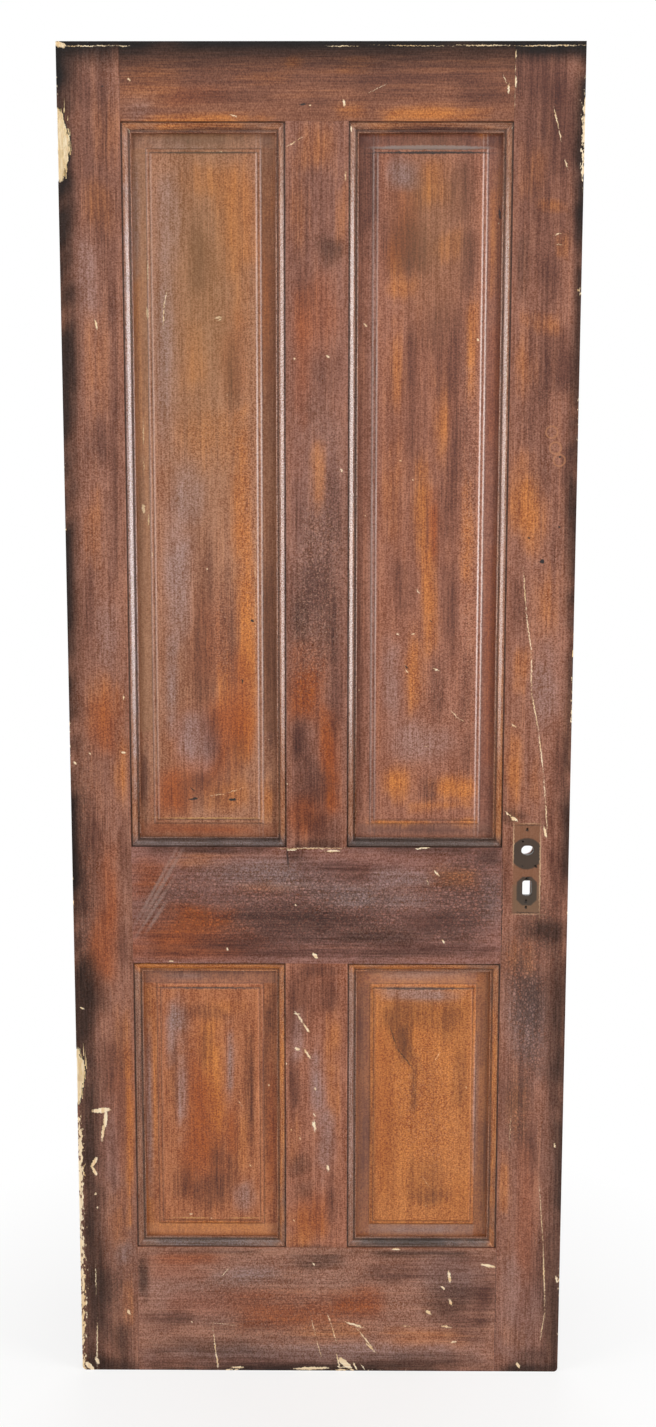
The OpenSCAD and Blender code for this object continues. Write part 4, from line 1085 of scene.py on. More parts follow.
# %% Bottom rail
BOTTOM_STROKES = [
    (210, 1832, 124, 8, "black", 0.4), (165, 1842, 80, 14, "red", 0.55),
    (540, 1834, 124, 10, "black", 0.7), (100, 1875, 12, 44, "black", 0.7),
    (378, 1845, 50, 22, "black", 0.55), (160, 1868, 60, 18, "red", 0.4),
    (270, 1872, 60, 20, "grey", 0.45), (180, 1905, 90, 50, "grey", 0.2),
    (250, 1915, 150, 28, "red", 0.55), (330, 1940, 100, 26, "red", 0.6),
    (140, 1945, 50, 22, "dark", 0.4), (250, 1955, 90, 14, "dark", 0.35),
    (430, 1920, 60, 40, "red", 0.75), (400, 1965, 70, 24, "orange", 0.4),
    (505, 1865, 70, 26, "dark", 0.5), (590, 1870, 60, 40, "grey", 0.35),
    (600, 1900, 70, 80, "dark", 0.45), (580, 1910, 56, 40, "black", 0.38),
    (645, 1900, 18, 60, "dark", 0.5), (540, 1975, 100, 20, "orange", 0.35),
    (620, 1965, 40, 26, "dark", 0.4), (190, 1995, 120, 20, "black", 0.5),
    (380, 2004, 300, 22, "grey", 0.45), (520, 2012, 130, 16, "black", 0.5),
    (380, 2032, 320, 14, "black", 0.8), (380, 2028, 420, 36, "dark", 0.5),
    (420, 2024, 26, 12, "chips", 0.7), (235, 2031, 34, 5, "chips", 0.6),
    (380, 2032, 300, 3, "chips", 0.45), (300, 1930, 240, 100, "crackle", 0.35),
    (400, 1930, 300, 100, "pebble", 0.5),
]
BOTTOM_PALE = [
    (85.5, 1840, 85.5, 2000, 0.3), (237, 1858, 223, 1874, 0.7), (210, 1961, 217, 2028, 0.9),
    (214, 2000, 218, 2026, 1.4), (207, 1951, 250, 1956, 0.4), (175, 1949, 176, 1950, 1.3),
    (367, 1941, 374, 1972, 0.6), (376, 1980, 383, 2008, 0.8), (393, 1934, 400, 1956, 0.9),
    (400, 1956, 407, 1981, 0.8), (407, 2001, 413, 2028, 1.3), (414, 2013, 428, 2025, 4.6),
    (435, 2019, 440, 2029, 1.6), (340, 2029, 396, 2027, 2.4), (423, 1949, 449, 1958, 1.8),
    (447, 2021, 452, 2029, 1.2), (447, 1968, 465, 1991, 0.6), (586, 1864, 588, 1880, 2.6),
    (638, 1851, 658, 1855, 2.4), (552, 1930, 557, 1934, 2.4), (575, 1889, 579, 1892, 2),
    (588, 1911, 591, 1919, 2.2), (575, 1955, 590, 1957, 1.4), (440, 1960, 470, 1999, 1.0),
    (455, 1985, 468, 1998, 1.5), (497, 1826, 507, 1826, 1.8), (240, 2027, 258, 2027, 1.8),
    (590, 1983, 600, 1981, 1.3), (510, 1955, 528, 1956, 0.5), (370, 1850, 372, 1853, 1.2),
]
dress("bottom_rail", 5, "#94614b", BOTTOM_STROKES, BOTTOM_PALE, load=RAIL_LOAD, level=True, comb=0.8)

# %% [markdown]
# The muntins are the short uprights between the panels. The upper one has the most pebbled gloss of
# the frame, and the lower one has a run of white paint drips.

# %% Muntins
MUNTIN_LOAD = 1.2
UPPER_MUNTIN_STROKES = [
    (375, 150, 44, 40, "orange", 0.4), (375, 220, 50, 130, "dark", 0.2),
    (350, 230, 16, 70, "orange", 0.3), (395, 292, 22, 26, "black", 0.55),
    (412, 250, 10, 60, "orange", 0.25), (370, 380, 40, 60, "red", 0.3),
    (355, 340, 26, 70, "dark", 0.35), (390, 470, 26, 60, "dark", 0.25),
    (352, 430, 16, 130, "red", 0.35), (376, 620, 12, 70, "orange", 0.65),
    (350, 680, 18, 60, "dark", 0.3), (402, 650, 14, 80, "dark", 0.4), (375, 785, 40, 50, "dark", 0.5),
    (375, 690, 46, 200, "grey", 0.16), (350, 830, 18, 40, "black", 0.5),
    (400, 830, 14, 80, "dark", 0.6), (360, 930, 36, 70, "red", 0.8), (405, 940, 12, 80, "dark", 0.5),
    (350, 1010, 20, 50, "dark", 0.6), (394, 1020, 20, 70, "red", 0.75),
    (398, 1100, 16, 40, "red", 0.75), (370, 1080, 36, 50, "dark", 0.5), (360, 1130, 30, 40, "red", 0.6),
    (375, 1145, 44, 30, "dark", 0.55), (375, 1174, 50, 9, "black", 0.65),
    (380, 800, 50, 260, "pebble", 0.8), (375, 800, 50, 300, "crackle", 0.45),
]
UPPER_MUNTIN_PALE = [
    (333, 145, 345, 138, 0.9), (345, 138, 357, 131, 0.4), (390, 441, 394, 443, 1.3),
    (342, 444, 343, 446, 1.3), (411, 605, 413, 609, 1.3), (417, 180, 417, 192, 0.8),
    (330, 1078, 331, 1080, 0.9),
]
LOWER_MUNTIN_STROKES = [
    (375, 1372, 44, 14, "dark", 0.5), (350, 1425, 26, 70, "dark", 0.55),
    (395, 1410, 22, 40, "dark", 0.4), (400, 1480, 18, 60, "orange", 0.5),
    (345, 1480, 14, 50, "grey", 0.35), (340, 1560, 12, 60, "dark", 0.5),
    (375, 1560, 14, 70, "grey", 0.5), (405, 1580, 12, 60, "orange", 0.4),
    (350, 1684, 20, 28, "black", 0.42), (355, 1728, 18, 26, "black", 0.36),
    (390, 1650, 16, 70, "grey", 0.45), (340, 1640, 10, 60, "orange", 0.35),
    (360, 1780, 34, 34, "orange", 0.5), (364, 1770, 34, 44, "red", 0.5),
    (402, 1750, 12, 60, "dark", 0.45), (346, 1812, 24, 16, "orange", 0.4),
    (375, 1826, 50, 10, "black", 0.6),
]
LOWER_MUNTIN_PALE = [
    (343, 1438, 355, 1456, 1.5), (355, 1456, 364, 1470, 1.8), (341, 1440, 349, 1441, 1.1),
    (344, 1497, 347, 1498, 2.4), (357, 1499, 366, 1512, 1.8), (327, 1520, 328, 1522, 1.8),
    (372, 1614, 373, 1631, 1.8), (369, 1616, 371, 1624, 1.5), (371, 1602, 373, 1606, 1.1),
    (393, 1688, 394, 1695, 2), (349, 1642, 350, 1644, 1.4), (373, 1560, 374, 1563, 1.4),
    (335, 1628, 337, 1630, 0.9), (339, 1778, 341, 1780, 1),
]
dress("upper_muntin", 6, "#845340", UPPER_MUNTIN_STROKES, UPPER_MUNTIN_PALE, load=MUNTIN_LOAD)
dress("lower_muntin", 7, "#95593f", LOWER_MUNTIN_STROKES, LOWER_MUNTIN_PALE, load=MUNTIN_LOAD)

# %% [markdown]
# The panels float in grooves, so they never split. Their raised fields are lighter and more orange
# than the frame, with dark runs where varnish gathered and grey haze where damp got in. One function
# dresses a panel: the varnish, a tint in each margin round the field, darker lines in the hollows of
# the steps, and a few tinted marks. It finds the opening from the moulding strips that fill its edge.

# %% One panel
SIDES = ("bottom", "lock_side", "top", "hinge_side")
PANEL_LOAD = 1.2
PANEL_HOLLOW_DARK = 0.4


def opening_box(pane):
    """The middle, width and height of an opening, from the strips that fill its edge."""
    boxes = [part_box(f"front_{pane}_{side}_moulding") for side in SIDES]
    low_x, low_z = min(low.x for low, high in boxes), min(low.z for low, high in boxes)
    high_x, high_z = max(high.x for low, high in boxes), max(high.z for low, high in boxes)
    return ((low_x + high_x) / 2, 0, (low_z + high_z) / 2), high_x - low_x, high_z - low_z


def opening_on_face(pane):
    """The two corners of an opening in millimetres from the hinge edge and from the top."""
    middle, width, height = opening_box(pane)
    low_a, low_d = (middle[0] - width / 2) / MM + LEAF_W / 2, LEAF_H - (middle[2] + height / 2) / MM
    return low_a, low_d, low_a + width / MM, low_d + height / MM


def dress_panel(pane, seed, ground, strokes, pale, dark, margins, tints, comb, gloss):
    """Varnish one panel, brush its strokes and let it mirror the side lights."""
    node = pane + "_panel"
    opening = opening_on_face(pane)
    over = all_over(tinted_boxes(margins), step_dirt(opening, PANEL_HOLLOW_DARK), tinted_marks(tints))
    dress(node, seed, ground, strokes, pale, dark, PANEL_LOAD, gloss=gloss, comb=comb, over=over)
    polished.objects.link(boards[node])
    print(pane, "opening", [round(value, 1) for value in opening])


# %% [markdown]
# The tall panel on the hinge side is hazed with olive and grey on its left half and rubbed to orange
# on its right. Thin pale lines down the steps on its right are painted highlights where the steps
# catch the light, and a dark line under the top step of its field is a painted shadow.

# %% Upper hinge panel
UPPER_HINGE_STROKES = [
    (112, 420, 12, 300, "orange", 0.35), (108, 240, 12, 110, "grey", 0.5),
    (303, 400, 14, 300, "dark", 0.3), (300, 370, 14, 160, "red", 0.5),
    (305, 900, 14, 220, "dark", 0.55), (305, 220, 12, 60, "orange", 0.35),
    (210, 131, 124, 10, "dark", 0.45), (180, 140, 60, 8, "grey", 0.4), (205, 1150, 110, 10, "red", 0.7),
    (110, 1080, 10, 60, "dark", 0.6), (300, 1110, 14, 40, "orange", 0.5),
    (160, 230, 24, 80, "grey", 0.25), (255, 240, 34, 90, "orange", 0.6),
    (205, 190, 40, 24, "orange", 0.3), (200, 300, 22, 80, "dark", 0.35),
    (265, 340, 18, 70, "orange", 0.3), (255, 440, 22, 90, "red", 0.35),
    (150, 430, 14, 150, "grey", 0.35), (190, 450, 22, 60, "orange", 0.3),
    (255, 470, 18, 60, "dark", 0.3), (210, 560, 60, 60, "orange", 0.25),
    (180, 640, 30, 60, "grey", 0.35), (265, 650, 18, 130, "orange", 0.6),
    (168, 760, 26, 120, "grey", 0.45), (205, 790, 28, 150, "dark", 0.25),
    (150, 400, 24, 260, "grey", 0.2), (240, 830, 18, 90, "dark", 0.35),
    (268, 840, 20, 190, "orange", 0.7), (262, 960, 26, 120, "red", 0.5),
    (200, 900, 34, 90, "dark", 0.35), (225, 880, 50, 110, "red", 0.35), (155, 930, 12, 90, "grey", 0.5),
    (240, 930, 16, 50, "orange", 0.5), (190, 1010, 34, 50, "grey", 0.55),
    (215, 1000, 16, 60, "dark", 0.5), (262, 1010, 20, 70, "orange", 0.65),
    (150, 1100, 36, 50, "red", 0.75), (255, 1050, 26, 70, "dark", 0.3), (215, 1020, 70, 90, "red", 0.6),
    (240, 1100, 50, 30, "orange", 0.45), (200, 1090, 60, 40, "dark", 0.3),
    (200, 1075, 24, 16, "dark", 0.4), (275, 600, 22, 320, "pebble", 0.7),
    (236, 850, 22, 110, "pebble", 0.7), (210, 560, 60, 80, "pebble", 0.6),
]
UPPER_HINGE_PALE = [
    (127, 303, 127, 333, 0.9), (125, 370, 126, 386, 1.7), (117, 534, 117, 568, 0.8),
    (115, 658, 116, 668, 2.6), (123, 673, 123, 687, 1.2), (128, 730, 128, 733, 1.1),
    (155, 347, 150, 372, 0.9), (150, 372, 149, 397, 0.9), (226, 386, 236, 384, 1.4),
    (230, 389, 234, 388, 1), (235, 150, 237, 151, 1.3), (285, 120, 293, 122, 1.3),
    (213, 1098, 235, 1095, 0.4), (235, 1095, 260, 1087, 0.5), (117, 590, 117, 610, 0.6),
    (283, 700, 283, 900, 0.25),
]
UPPER_HINGE_DARK = [(181, 1104, 193, 1102, 1.5), (243, 1104, 250, 1104, 2.2), (278, 830, 279, 831, 1.8),
                    (183, 1086, 187, 1090, 1.2), (262, 920, 263, 924, 1.2)]
UPPER_HINGE_MARGINS = [
    ("#7a4228", 0.35, 105, 1142, 315, 1163), ("#7a5c48", 0.3, 105, 124, 315, 145),
    ("#9a7452", 0.3, 105, 145, 126, 1000), ("#6b3f1c", 0.3, 295, 145, 315, 1000),
]
UPPER_HINGE_TINTS = [
    # A painted shadow under the top step, and painted highlights down the right steps at 293 and 287.
    ("#1f1611", 0.8, 1.0, [(134, 151.5, 287, 151.5, 1.4)]),
    ("#86642f", 0.3, 0.012, [(210, 170, 210, 520, 62)]),
    ("#cbb9b2", 0.3, 0.8, [(293, 170, 293, 1100, 0.9), (287, 190, 287, 1060, 0.9)]),
    ("#c79a5c", 0.6, 1.0, [(137, 1133, 284, 1133, 1.0)]),
]
dress_panel("upper_hinge", 8, "#925e42", UPPER_HINGE_STROKES, UPPER_HINGE_PALE, UPPER_HINGE_DARK,
            UPPER_HINGE_MARGINS, UPPER_HINGE_TINTS, comb=0.75, gloss=1.5)

# %% [markdown]
# The tall panel on the lock side is redder and darker, with a painted grey reflection on the top
# step of its field and a deep painted shadow under it, painted highlights down its side steps, and
# a pebbled gloss down its right side.

# %% Upper lock panel
UPPER_LOCK_STROKES = [
    (540, 131, 400, 12, "dark", 0.45), (445, 190, 22, 110, "dark", 0.55),
    (458, 640, 5, 700, "grey", 0.2), (475, 122, 30, 6, "orange", 0.4), (622, 122, 26, 8, "orange", 0.6),
    (440, 450, 12, 300, "dark", 0.25), (440, 900, 12, 240, "dark", 0.3),
    (635, 260, 10, 120, "orange", 0.6), (637, 500, 12, 160, "red", 0.5),
    (637, 900, 12, 260, "red", 0.6), (540, 1150, 110, 9, "dark", 0.65),
    (500, 1140, 60, 6, "orange", 0.7), (600, 1140, 30, 8, "orange", 0.5),
    (500, 185, 30, 26, "grey", 0.5), (545, 200, 34, 40, "orange", 0.45),
    (590, 200, 24, 60, "dark", 0.5), (508, 290, 40, 56, "dark", 0.5), (500, 270, 30, 70, "red", 0.4),
    (505, 225, 50, 100, "dark", 0.35), (490, 300, 16, 30, "orange", 0.35),
    (570, 280, 24, 30, "orange", 0.35), (592, 300, 24, 60, "dark", 0.5),
    (500, 340, 26, 26, "orange", 0.4), (568, 430, 46, 90, "dark", 0.45),
    (540, 600, 80, 220, "dark", 0.2), (515, 440, 16, 60, "dark", 0.35),
    (605, 420, 12, 90, "orange", 0.55), (490, 460, 14, 70, "orange", 0.4),
    (560, 540, 14, 60, "orange", 0.5), (520, 560, 20, 80, "dark", 0.25),
    (590, 560, 20, 70, "dark", 0.4), (533, 660, 14, 90, "orange", 0.6), (551, 690, 10, 60, "red", 0.7),
    (572, 650, 18, 90, "dark", 0.3), (490, 640, 16, 90, "orange", 0.3),
    (602, 700, 12, 100, "orange", 0.5), (545, 790, 14, 100, "orange", 0.65),
    (505, 780, 20, 60, "dark", 0.4), (575, 820, 18, 90, "dark", 0.5),
    (525, 900, 16, 80, "orange", 0.55), (555, 930, 14, 70, "dark", 0.4),
    (490, 930, 20, 80, "grey", 0.3), (600, 930, 16, 90, "dark", 0.3), (530, 1020, 60, 40, "grey", 0.3),
    (495, 1080, 22, 36, "orange", 0.75), (585, 1085, 36, 22, "orange", 0.85),
    (545, 1090, 16, 24, "dark", 0.5), (560, 1112, 56, 10, "orange", 0.5),
    (605, 1030, 14, 40, "dark", 0.4), (602, 700, 20, 420, "pebble", 0.9),
    (540, 950, 50, 160, "pebble", 0.5),
]
UPPER_LOCK_PALE = [
    (446, 394, 448, 396, 1.4), (612, 416, 614, 418, 1.3), (510, 903, 514, 910, 0.9),
    (553, 903, 560, 905, 1.1), (519, 850, 522, 850, 1.2), (496, 850, 499, 851, 1.1),
    (580, 967, 589, 977, 0.5), (589, 977, 600, 983, 0.6), (537, 1022, 546, 1021, 0.5),
    (525, 783, 530, 788, 0.8), (499, 592, 501, 593, 0.9), (518, 620, 519, 621, 0.9),
]
UPPER_LOCK_DARK = [(642, 231, 643, 242, 1.6), (511, 899, 512, 901, 1.4), (547, 830, 548, 831, 1)]
UPPER_LOCK_MARGINS = [
    ("#55281a", 0.4, 436, 124, 646, 145), ("#7d5c50", 0.3, 436, 1142, 646, 1163),
    ("#65433e", 0.3, 624, 145, 646, 1142),
]
UPPER_LOCK_TINTS = [
    # The grey band at 144 is a painted reflection on the top step, the dark line at 151.5 a painted
    # shadow under it, and the pale lines at 458, 464, 623.5 and 617.5 painted highlights down the side
    # steps.
    ("#84766f", 0.8, 0.7, [(461, 144, 619, 144, 3.4)]),
    ("#7a5a2a", 0.25, 0.015, [(545, 190, 545, 320, 45)]),
    ("#a8968c", 0.35, 0.8, [(458, 190, 458, 1090, 0.8), (464, 240, 464, 1040, 0.6)]),
    ("#dccac2", 0.4, 0.8, [(623.5, 170, 623.5, 1100, 0.9), (617.5, 190, 617.5, 1060, 0.9)]),
    ("#150f0d", 0.9, 1.0, [(456, 151.5, 624, 151.5, 1.9)]),
]
dress_panel("upper_lock", 9, "#8b543d", UPPER_LOCK_STROKES, UPPER_LOCK_PALE, UPPER_LOCK_DARK,
            UPPER_LOCK_MARGINS, UPPER_LOCK_TINTS, comb=0.75, gloss=1.35)

# %% [markdown]
# The short panel on the hinge side is worn to red and orange in the middle of its field, and its
# bottom margin is the most orange of all, partly its own wear and partly painted light that lifts the
# shade the lamps leave there. A dark line under the top step of its field is a painted shadow.

# %% Lower hinge panel
LOWER_HINGE_STROKES = [
    (112, 1440, 10, 60, "orange", 0.6), (112, 1600, 8, 160, "grey", 0.5),
    (120, 1560, 6, 160, "orange", 0.5), (205, 1378, 100, 9, "dark", 0.45),
    (170, 1386, 50, 6, "grey", 0.4), (303, 1450, 12, 60, "dark", 0.6), (305, 1640, 12, 150, "red", 0.6),
    (296, 1560, 8, 150, "dark", 0.4), (205, 1795, 110, 12, "orange", 0.95),
    (110, 1770, 12, 40, "orange", 0.5), (160, 1450, 16, 40, "grey", 0.6),
    (150, 1540, 10, 80, "dark", 0.5), (165, 1560, 10, 90, "grey", 0.45),
    (205, 1440, 40, 20, "dark", 0.4), (235, 1430, 40, 14, "orange", 0.35),
    (200, 1500, 14, 60, "dark", 0.35), (190, 1600, 24, 140, "red", 0.7),
    (212, 1560, 22, 130, "orange", 0.8), (205, 1650, 44, 120, "red", 0.45),
    (240, 1520, 8, 70, "grey", 0.6), (242, 1640, 10, 60, "red", 0.55),
    (255, 1650, 12, 60, "orange", 0.45), (270, 1560, 10, 120, "dark", 0.45),
    (215, 1690, 16, 60, "dark", 0.45), (240, 1700, 10, 50, "dark", 0.4),
    (170, 1720, 26, 40, "dark", 0.4), (208, 1736, 30, 40, "dark", 0.45),
    (262, 1740, 22, 30, "grey", 0.45), (148, 1480, 12, 60, "grey", 0.45),
    (172, 1690, 14, 70, "red", 0.5), (210, 1600, 70, 150, "pebble", 0.2),
]
LOWER_HINGE_PALE = [
    (148, 1357, 152, 1358, 1.1), (175, 1771, 178, 1772, 1.1), (252, 1583, 258, 1592, 0.4),
    (270, 1690, 272, 1692, 1), (300, 1560, 301, 1561, 0.9),
]
# The pale orange tint in the bottom margin, like the strong orange stroke there, is partly the margin's
# own wear and partly painted light that lifts the shade the lamps leave on it.
LOWER_HINGE_MARGINS = [
    ("#74584f", 0.4, 105, 1374, 313, 1395), ("#c98a5c", 0.35, 105, 1789, 313, 1810),
]
LOWER_HINGE_TINTS = [
    # The first tint is a painted shadow under the top step of the field.
    ("#1f1611", 0.8, 1.0, [(134, 1402, 286, 1402, 1.3)]),
    ("#c79a5c", 0.6, 1.0, [(150, 1778, 200, 1778, 0.9), (240, 1778, 284, 1778, 0.8)]),
]
dress_panel("lower_hinge", 10, "#9e5b36", LOWER_HINGE_STROKES, LOWER_HINGE_PALE, [],
            LOWER_HINGE_MARGINS, LOWER_HINGE_TINTS, comb=0.85, gloss=1.1)

# %% [markdown]
# The short panel on the lock side has the brightest field, with a dark run of varnish down its upper
# left, a painted shadow under the top step of its field, and greyer margins round it.

# %% Lower lock panel
LOWER_LOCK_STROKES = [
    (445, 1480, 10, 100, "dark", 0.5), (450, 1650, 12, 120, "dark", 0.55),
    (437, 1600, 6, 160, "orange", 0.4), (636, 1480, 10, 80, "dark", 0.35),
    (640, 1680, 12, 100, "dark", 0.55), (626, 1600, 6, 160, "grey", 0.5),
    (540, 1378, 100, 9, "grey", 0.4), (480, 1386, 40, 8, "orange", 0.45),
    (540, 1797, 100, 9, "grey", 0.5), (470, 1790, 30, 8, "orange", 0.4),
    (540, 1570, 80, 200, "orange", 0.6), (480, 1600, 22, 170, "red", 0.35),
    (530, 1440, 80, 40, "dark", 0.35), (512, 1490, 12, 36, "dark", 0.6),
    (590, 1450, 24, 50, "dark", 0.3), (540, 1410, 84, 14, "grey", 0.55),
    (528, 1570, 8, 50, "dark", 0.4), (600, 1540, 12, 80, "dark", 0.25),
    (548, 1715, 40, 46, "dark", 0.22), (600, 1740, 30, 40, "orange", 0.6),
    (480, 1690, 12, 70, "orange", 0.8), (560, 1740, 40, 16, "dark", 0.3),
    (540, 1600, 70, 170, "pebble", 0.5),
]
LOWER_LOCK_PALE = [(560, 1520, 568, 1505, 0.4), (545, 1711, 552, 1722, 0.5), (610, 1560, 611, 1562, 0.8)]
LOWER_LOCK_MARGINS = [
    ("#75524d", 0.45, 438, 1374, 458.5, 1810), ("#674136", 0.45, 625, 1374, 646, 1810),
    ("#8a6a60", 0.4, 458.5, 1374, 625, 1395), ("#7e6c68", 0.45, 458.5, 1789, 625, 1810),
]
LOWER_LOCK_TINTS = [
    # The line at 1402 is a painted shadow under the top step; the other lines are the dark run of
    # varnish.
    ("#1a1412", 0.85, 1.0, [(465, 1402, 619, 1402, 1.4), (490, 1462, 500, 1494, 0.8),
                            (500, 1496, 526, 1530, 0.8)]),
    ("#4a2413", 0.4, 0.1, [(492, 1452, 506, 1490, 10), (504, 1484, 528, 1522, 10)]),
]
dress_panel("lower_lock", 11, "#ad642f", LOWER_LOCK_STROKES, LOWER_LOCK_PALE, [],
            LOWER_LOCK_MARGINS, LOWER_LOCK_TINTS, comb=0.45, gloss=1.1)

# %% [markdown]
# The planted mouldings are thin strips run through a moulding plane, mitred and nailed round each
# opening. They are made as a joiner would make them, from one profile: a small quirk beside the
# frame, a flat quarter-round called an ovolo, a groove, and a bead next to the panel. The two round
# stretches are arcs, worked out from a few sizes.

# %% The moulding's profile
MOULDING_W = 14.5
BASE_H, TOP_H = 5.6, 16.5
QUIRK = 2.4
OVOLO_W, OVOLO_FALL, OVOLO_R = 7.2, 5.0, 19.5
BEAD_GROOVE, BEAD_R = 1.2, 1.1
ARC_STEPS = 8


def ovolo_points():
    """The flat quarter-round: points from its high corner to its low one."""
    chord = math.hypot(OVOLO_W, OVOLO_FALL)
    sag = math.sqrt(OVOLO_R ** 2 - chord ** 2 / 4)
    centre = (QUIRK + OVOLO_W / 2 - sag * OVOLO_FALL / chord,
              TOP_H - OVOLO_FALL / 2 - sag * OVOLO_W / chord)
    start = math.atan2(TOP_H - centre[1], QUIRK - centre[0])
    end = math.atan2(TOP_H - OVOLO_FALL - centre[1], QUIRK + OVOLO_W - centre[0])
    angles = np.linspace(start, end, ARC_STEPS + 1)
    return [(centre[0] + OVOLO_R * math.cos(a), centre[1] + OVOLO_R * math.sin(a)) for a in angles]


def profile_points():
    """The whole outline, from the frame's edge over the top and back under: width and height."""
    floor_h = TOP_H - OVOLO_FALL - BEAD_GROOVE
    bead = [(MOULDING_W - BEAD_R + BEAD_R * math.cos(a), floor_h + BEAD_R * math.sin(a))
            for a in np.linspace(math.pi, 0, ARC_STEPS + 1)]
    rise = [(0, BASE_H), (0, TOP_H - QUIRK), (QUIRK, TOP_H - QUIRK)]
    groove = [(QUIRK + OVOLO_W, floor_h)]
    return rise + ovolo_points() + groove + bead + [(MOULDING_W, BASE_H)]


profile_curve = bpy.data.curves.new("moulding_profile", "CURVE")
profile_curve.dimensions = "2D"
profile_curve.fill_mode = "NONE"
outline = profile_points()[::-1]
spline = profile_curve.splines.new("POLY")
spline.points.add(len(outline) - 1)
for point, (wide, high) in zip(spline.points, outline):
    point.co = (wide * MM, high * MM, 0, 1)
spline.use_cyclic_u = True
profile = bpy.data.objects.new("moulding_profile", profile_curve)
bpy.context.scene.collection.objects.link(profile)
print("profile of", len(outline), "points")

# %% [markdown]
# Geometry Nodes sweeps the profile along a straight strip. To cut the strip at forty-five degrees at
# both ends, each of its lines is shortened by its own distance from the opening's edge. Before that,
# the strip stores where each of its points lies across and along it, for the grain and the dirt.

# %% One mitred strip
strip_group, given, out = new_group(
    "mitred_strip", "GeometryNodeTree",
    {"Profile": "Object", "Length": "Float", "Mitre gap": "Float", "Spacing": "Float"},
    {"Geometry": "Geometry"})
half = add(strip_group, "ShaderNodeMath", {0: given["Length"], 1: 0.5}, operation="MULTIPLY")
minus = add(strip_group, "ShaderNodeMath", {0: given["Length"], 1: -0.5}, operation="MULTIPLY")
start = add(strip_group, "ShaderNodeCombineXYZ", {0: minus})
end = add(strip_group, "ShaderNodeCombineXYZ", {0: half})
line = add(strip_group, "GeometryNodeCurvePrimitiveLine", {"Start": start, "End": end})
line = add(strip_group, "GeometryNodeResampleCurve", {"Curve": line, "Length": given["Spacing"]},
           mode="LENGTH")
shape = add(strip_group, "GeometryNodeObjectInfo", {"Object": given["Profile"]}).outputs["Geometry"]
swept = add(strip_group, "GeometryNodeCurveToMesh",
            {"Curve": line, "Profile Curve": shape, "Fill Caps": True})
swept = add(strip_group, "GeometryNodeTransform", {"Geometry": swept, "Rotation": (math.pi, 0, 0)})
point = add(strip_group, "GeometryNodeInputPosition")
axes = add(strip_group, "ShaderNodeSeparateXYZ", {0: point}).outputs
along = add(strip_group, "ShaderNodeCombineXYZ", {0: axes["Y"], 1: axes["Z"], 2: axes["X"]})
along = add(strip_group, "ShaderNodeVectorMath", {0: along, 3: 1 / MM}, operation="SCALE")
swept = add(strip_group, "GeometryNodeStoreNamedAttribute",
            {"Geometry": swept, "Name": "strip", "Value": along}, data_type="FLOAT_VECTOR",
            domain="POINT")
cut = add(strip_group, "ShaderNodeMath", {0: axes["Y"], 1: given["Mitre gap"]}, operation="ADD")
cut = add(strip_group, "ShaderNodeMath", {0: cut, 1: half}, operation="DIVIDE")
cut = add(strip_group, "ShaderNodeMath", {0: 1.0, 1: cut}, operation="SUBTRACT")
mitred = add(strip_group, "ShaderNodeMath", {0: axes["X"], 1: cut}, operation="MULTIPLY")
moved = add(strip_group, "ShaderNodeCombineXYZ", {0: mitred, 1: axes["Y"], 2: axes["Z"]})
swept = add(strip_group, "GeometryNodeSetPosition", {"Geometry": swept, "Position": moved})
strip_group.links.new(swept.outputs[0], out.inputs[0])
print(strip_group.name, len(strip_group.nodes), "nodes")

# %% [markdown]
# Four strips make a surround. Each is moved out to its side of the opening and turned by a quarter
# more than the one before, and then the whole is stood up to face the front or the back. A small
# helper runs any such tree on an empty object and keeps the plain mesh that comes out.

# %% Four strips round an opening
surround, given, out = new_group(
    "opening_surround", "GeometryNodeTree",
    {"Profile": "Object", "Width": "Float", "Height": "Float", "Centre": "Vector", "Facing": "Float",
     "Mitre gap": "Float", "Spacing": "Float", "Finish": "Material"},
    {"Geometry": "Geometry"})
joined = add(surround, "GeometryNodeJoinGeometry")
for turn in range(4):
    run, rise = ("Width", "Height") if turn % 2 == 0 else ("Height", "Width")
    strip = add(surround, "GeometryNodeGroup", {
        "Profile": given["Profile"], "Length": given[run], "Mitre gap": given["Mitre gap"],
        "Spacing": given["Spacing"]}, node_tree=strip_group)
    away = add(surround, "ShaderNodeMath", {0: given[rise], 1: -0.5}, operation="MULTIPLY")
    shift = add(surround, "ShaderNodeCombineXYZ", {1: away})
    placed = add(surround, "GeometryNodeTransform", {"Geometry": strip, "Translation": shift})
    turned = add(surround, "GeometryNodeTransform",
                 {"Geometry": placed, "Rotation": (0, 0, turn * math.pi / 2)})
    surround.links.new(turned.outputs[0], joined.inputs[0])
stand = add(surround, "ShaderNodeCombineXYZ", {0: given["Facing"]})
stood = add(surround, "GeometryNodeTransform",
            {"Geometry": joined, "Rotation": stand, "Translation": given["Centre"]})
real = add(surround, "GeometryNodeRealizeInstances", {"Geometry": stood})
painted = add(surround, "GeometryNodeSetMaterial", {"Geometry": real, "Material": given["Finish"]})
surround.links.new(painted.outputs[0], out.inputs[0])
print(surround.name, len(surround.nodes), "nodes")


def grown(name, tree, values, base=None):
    """The plain mesh that a Geometry Nodes tree makes from named values."""
    seedling = bpy.data.objects.new(name + "_tree", base or bpy.data.meshes.new(name + "_tree"))
    bpy.context.scene.collection.objects.link(seedling)
    modifier = seedling.modifiers.new("tree", "NODES")
    modifier.node_group = tree
    sockets = {s.name: s.identifier for s in tree.interface.items_tree if s.in_out == "INPUT"}
    for socket, value in values.items():
        modifier[sockets[socket]] = value
    mesh = bpy.data.meshes.new_from_object(seedling.evaluated_get(bpy.context.evaluated_depsgraph_get()))
    mesh.name = name
    seedling.modifiers.remove(modifier)
    bpy.data.objects.remove(seedling)
    piece = bpy.data.objects.new(name, mesh)
    bpy.context.scene.collection.objects.link(piece)
    return piece
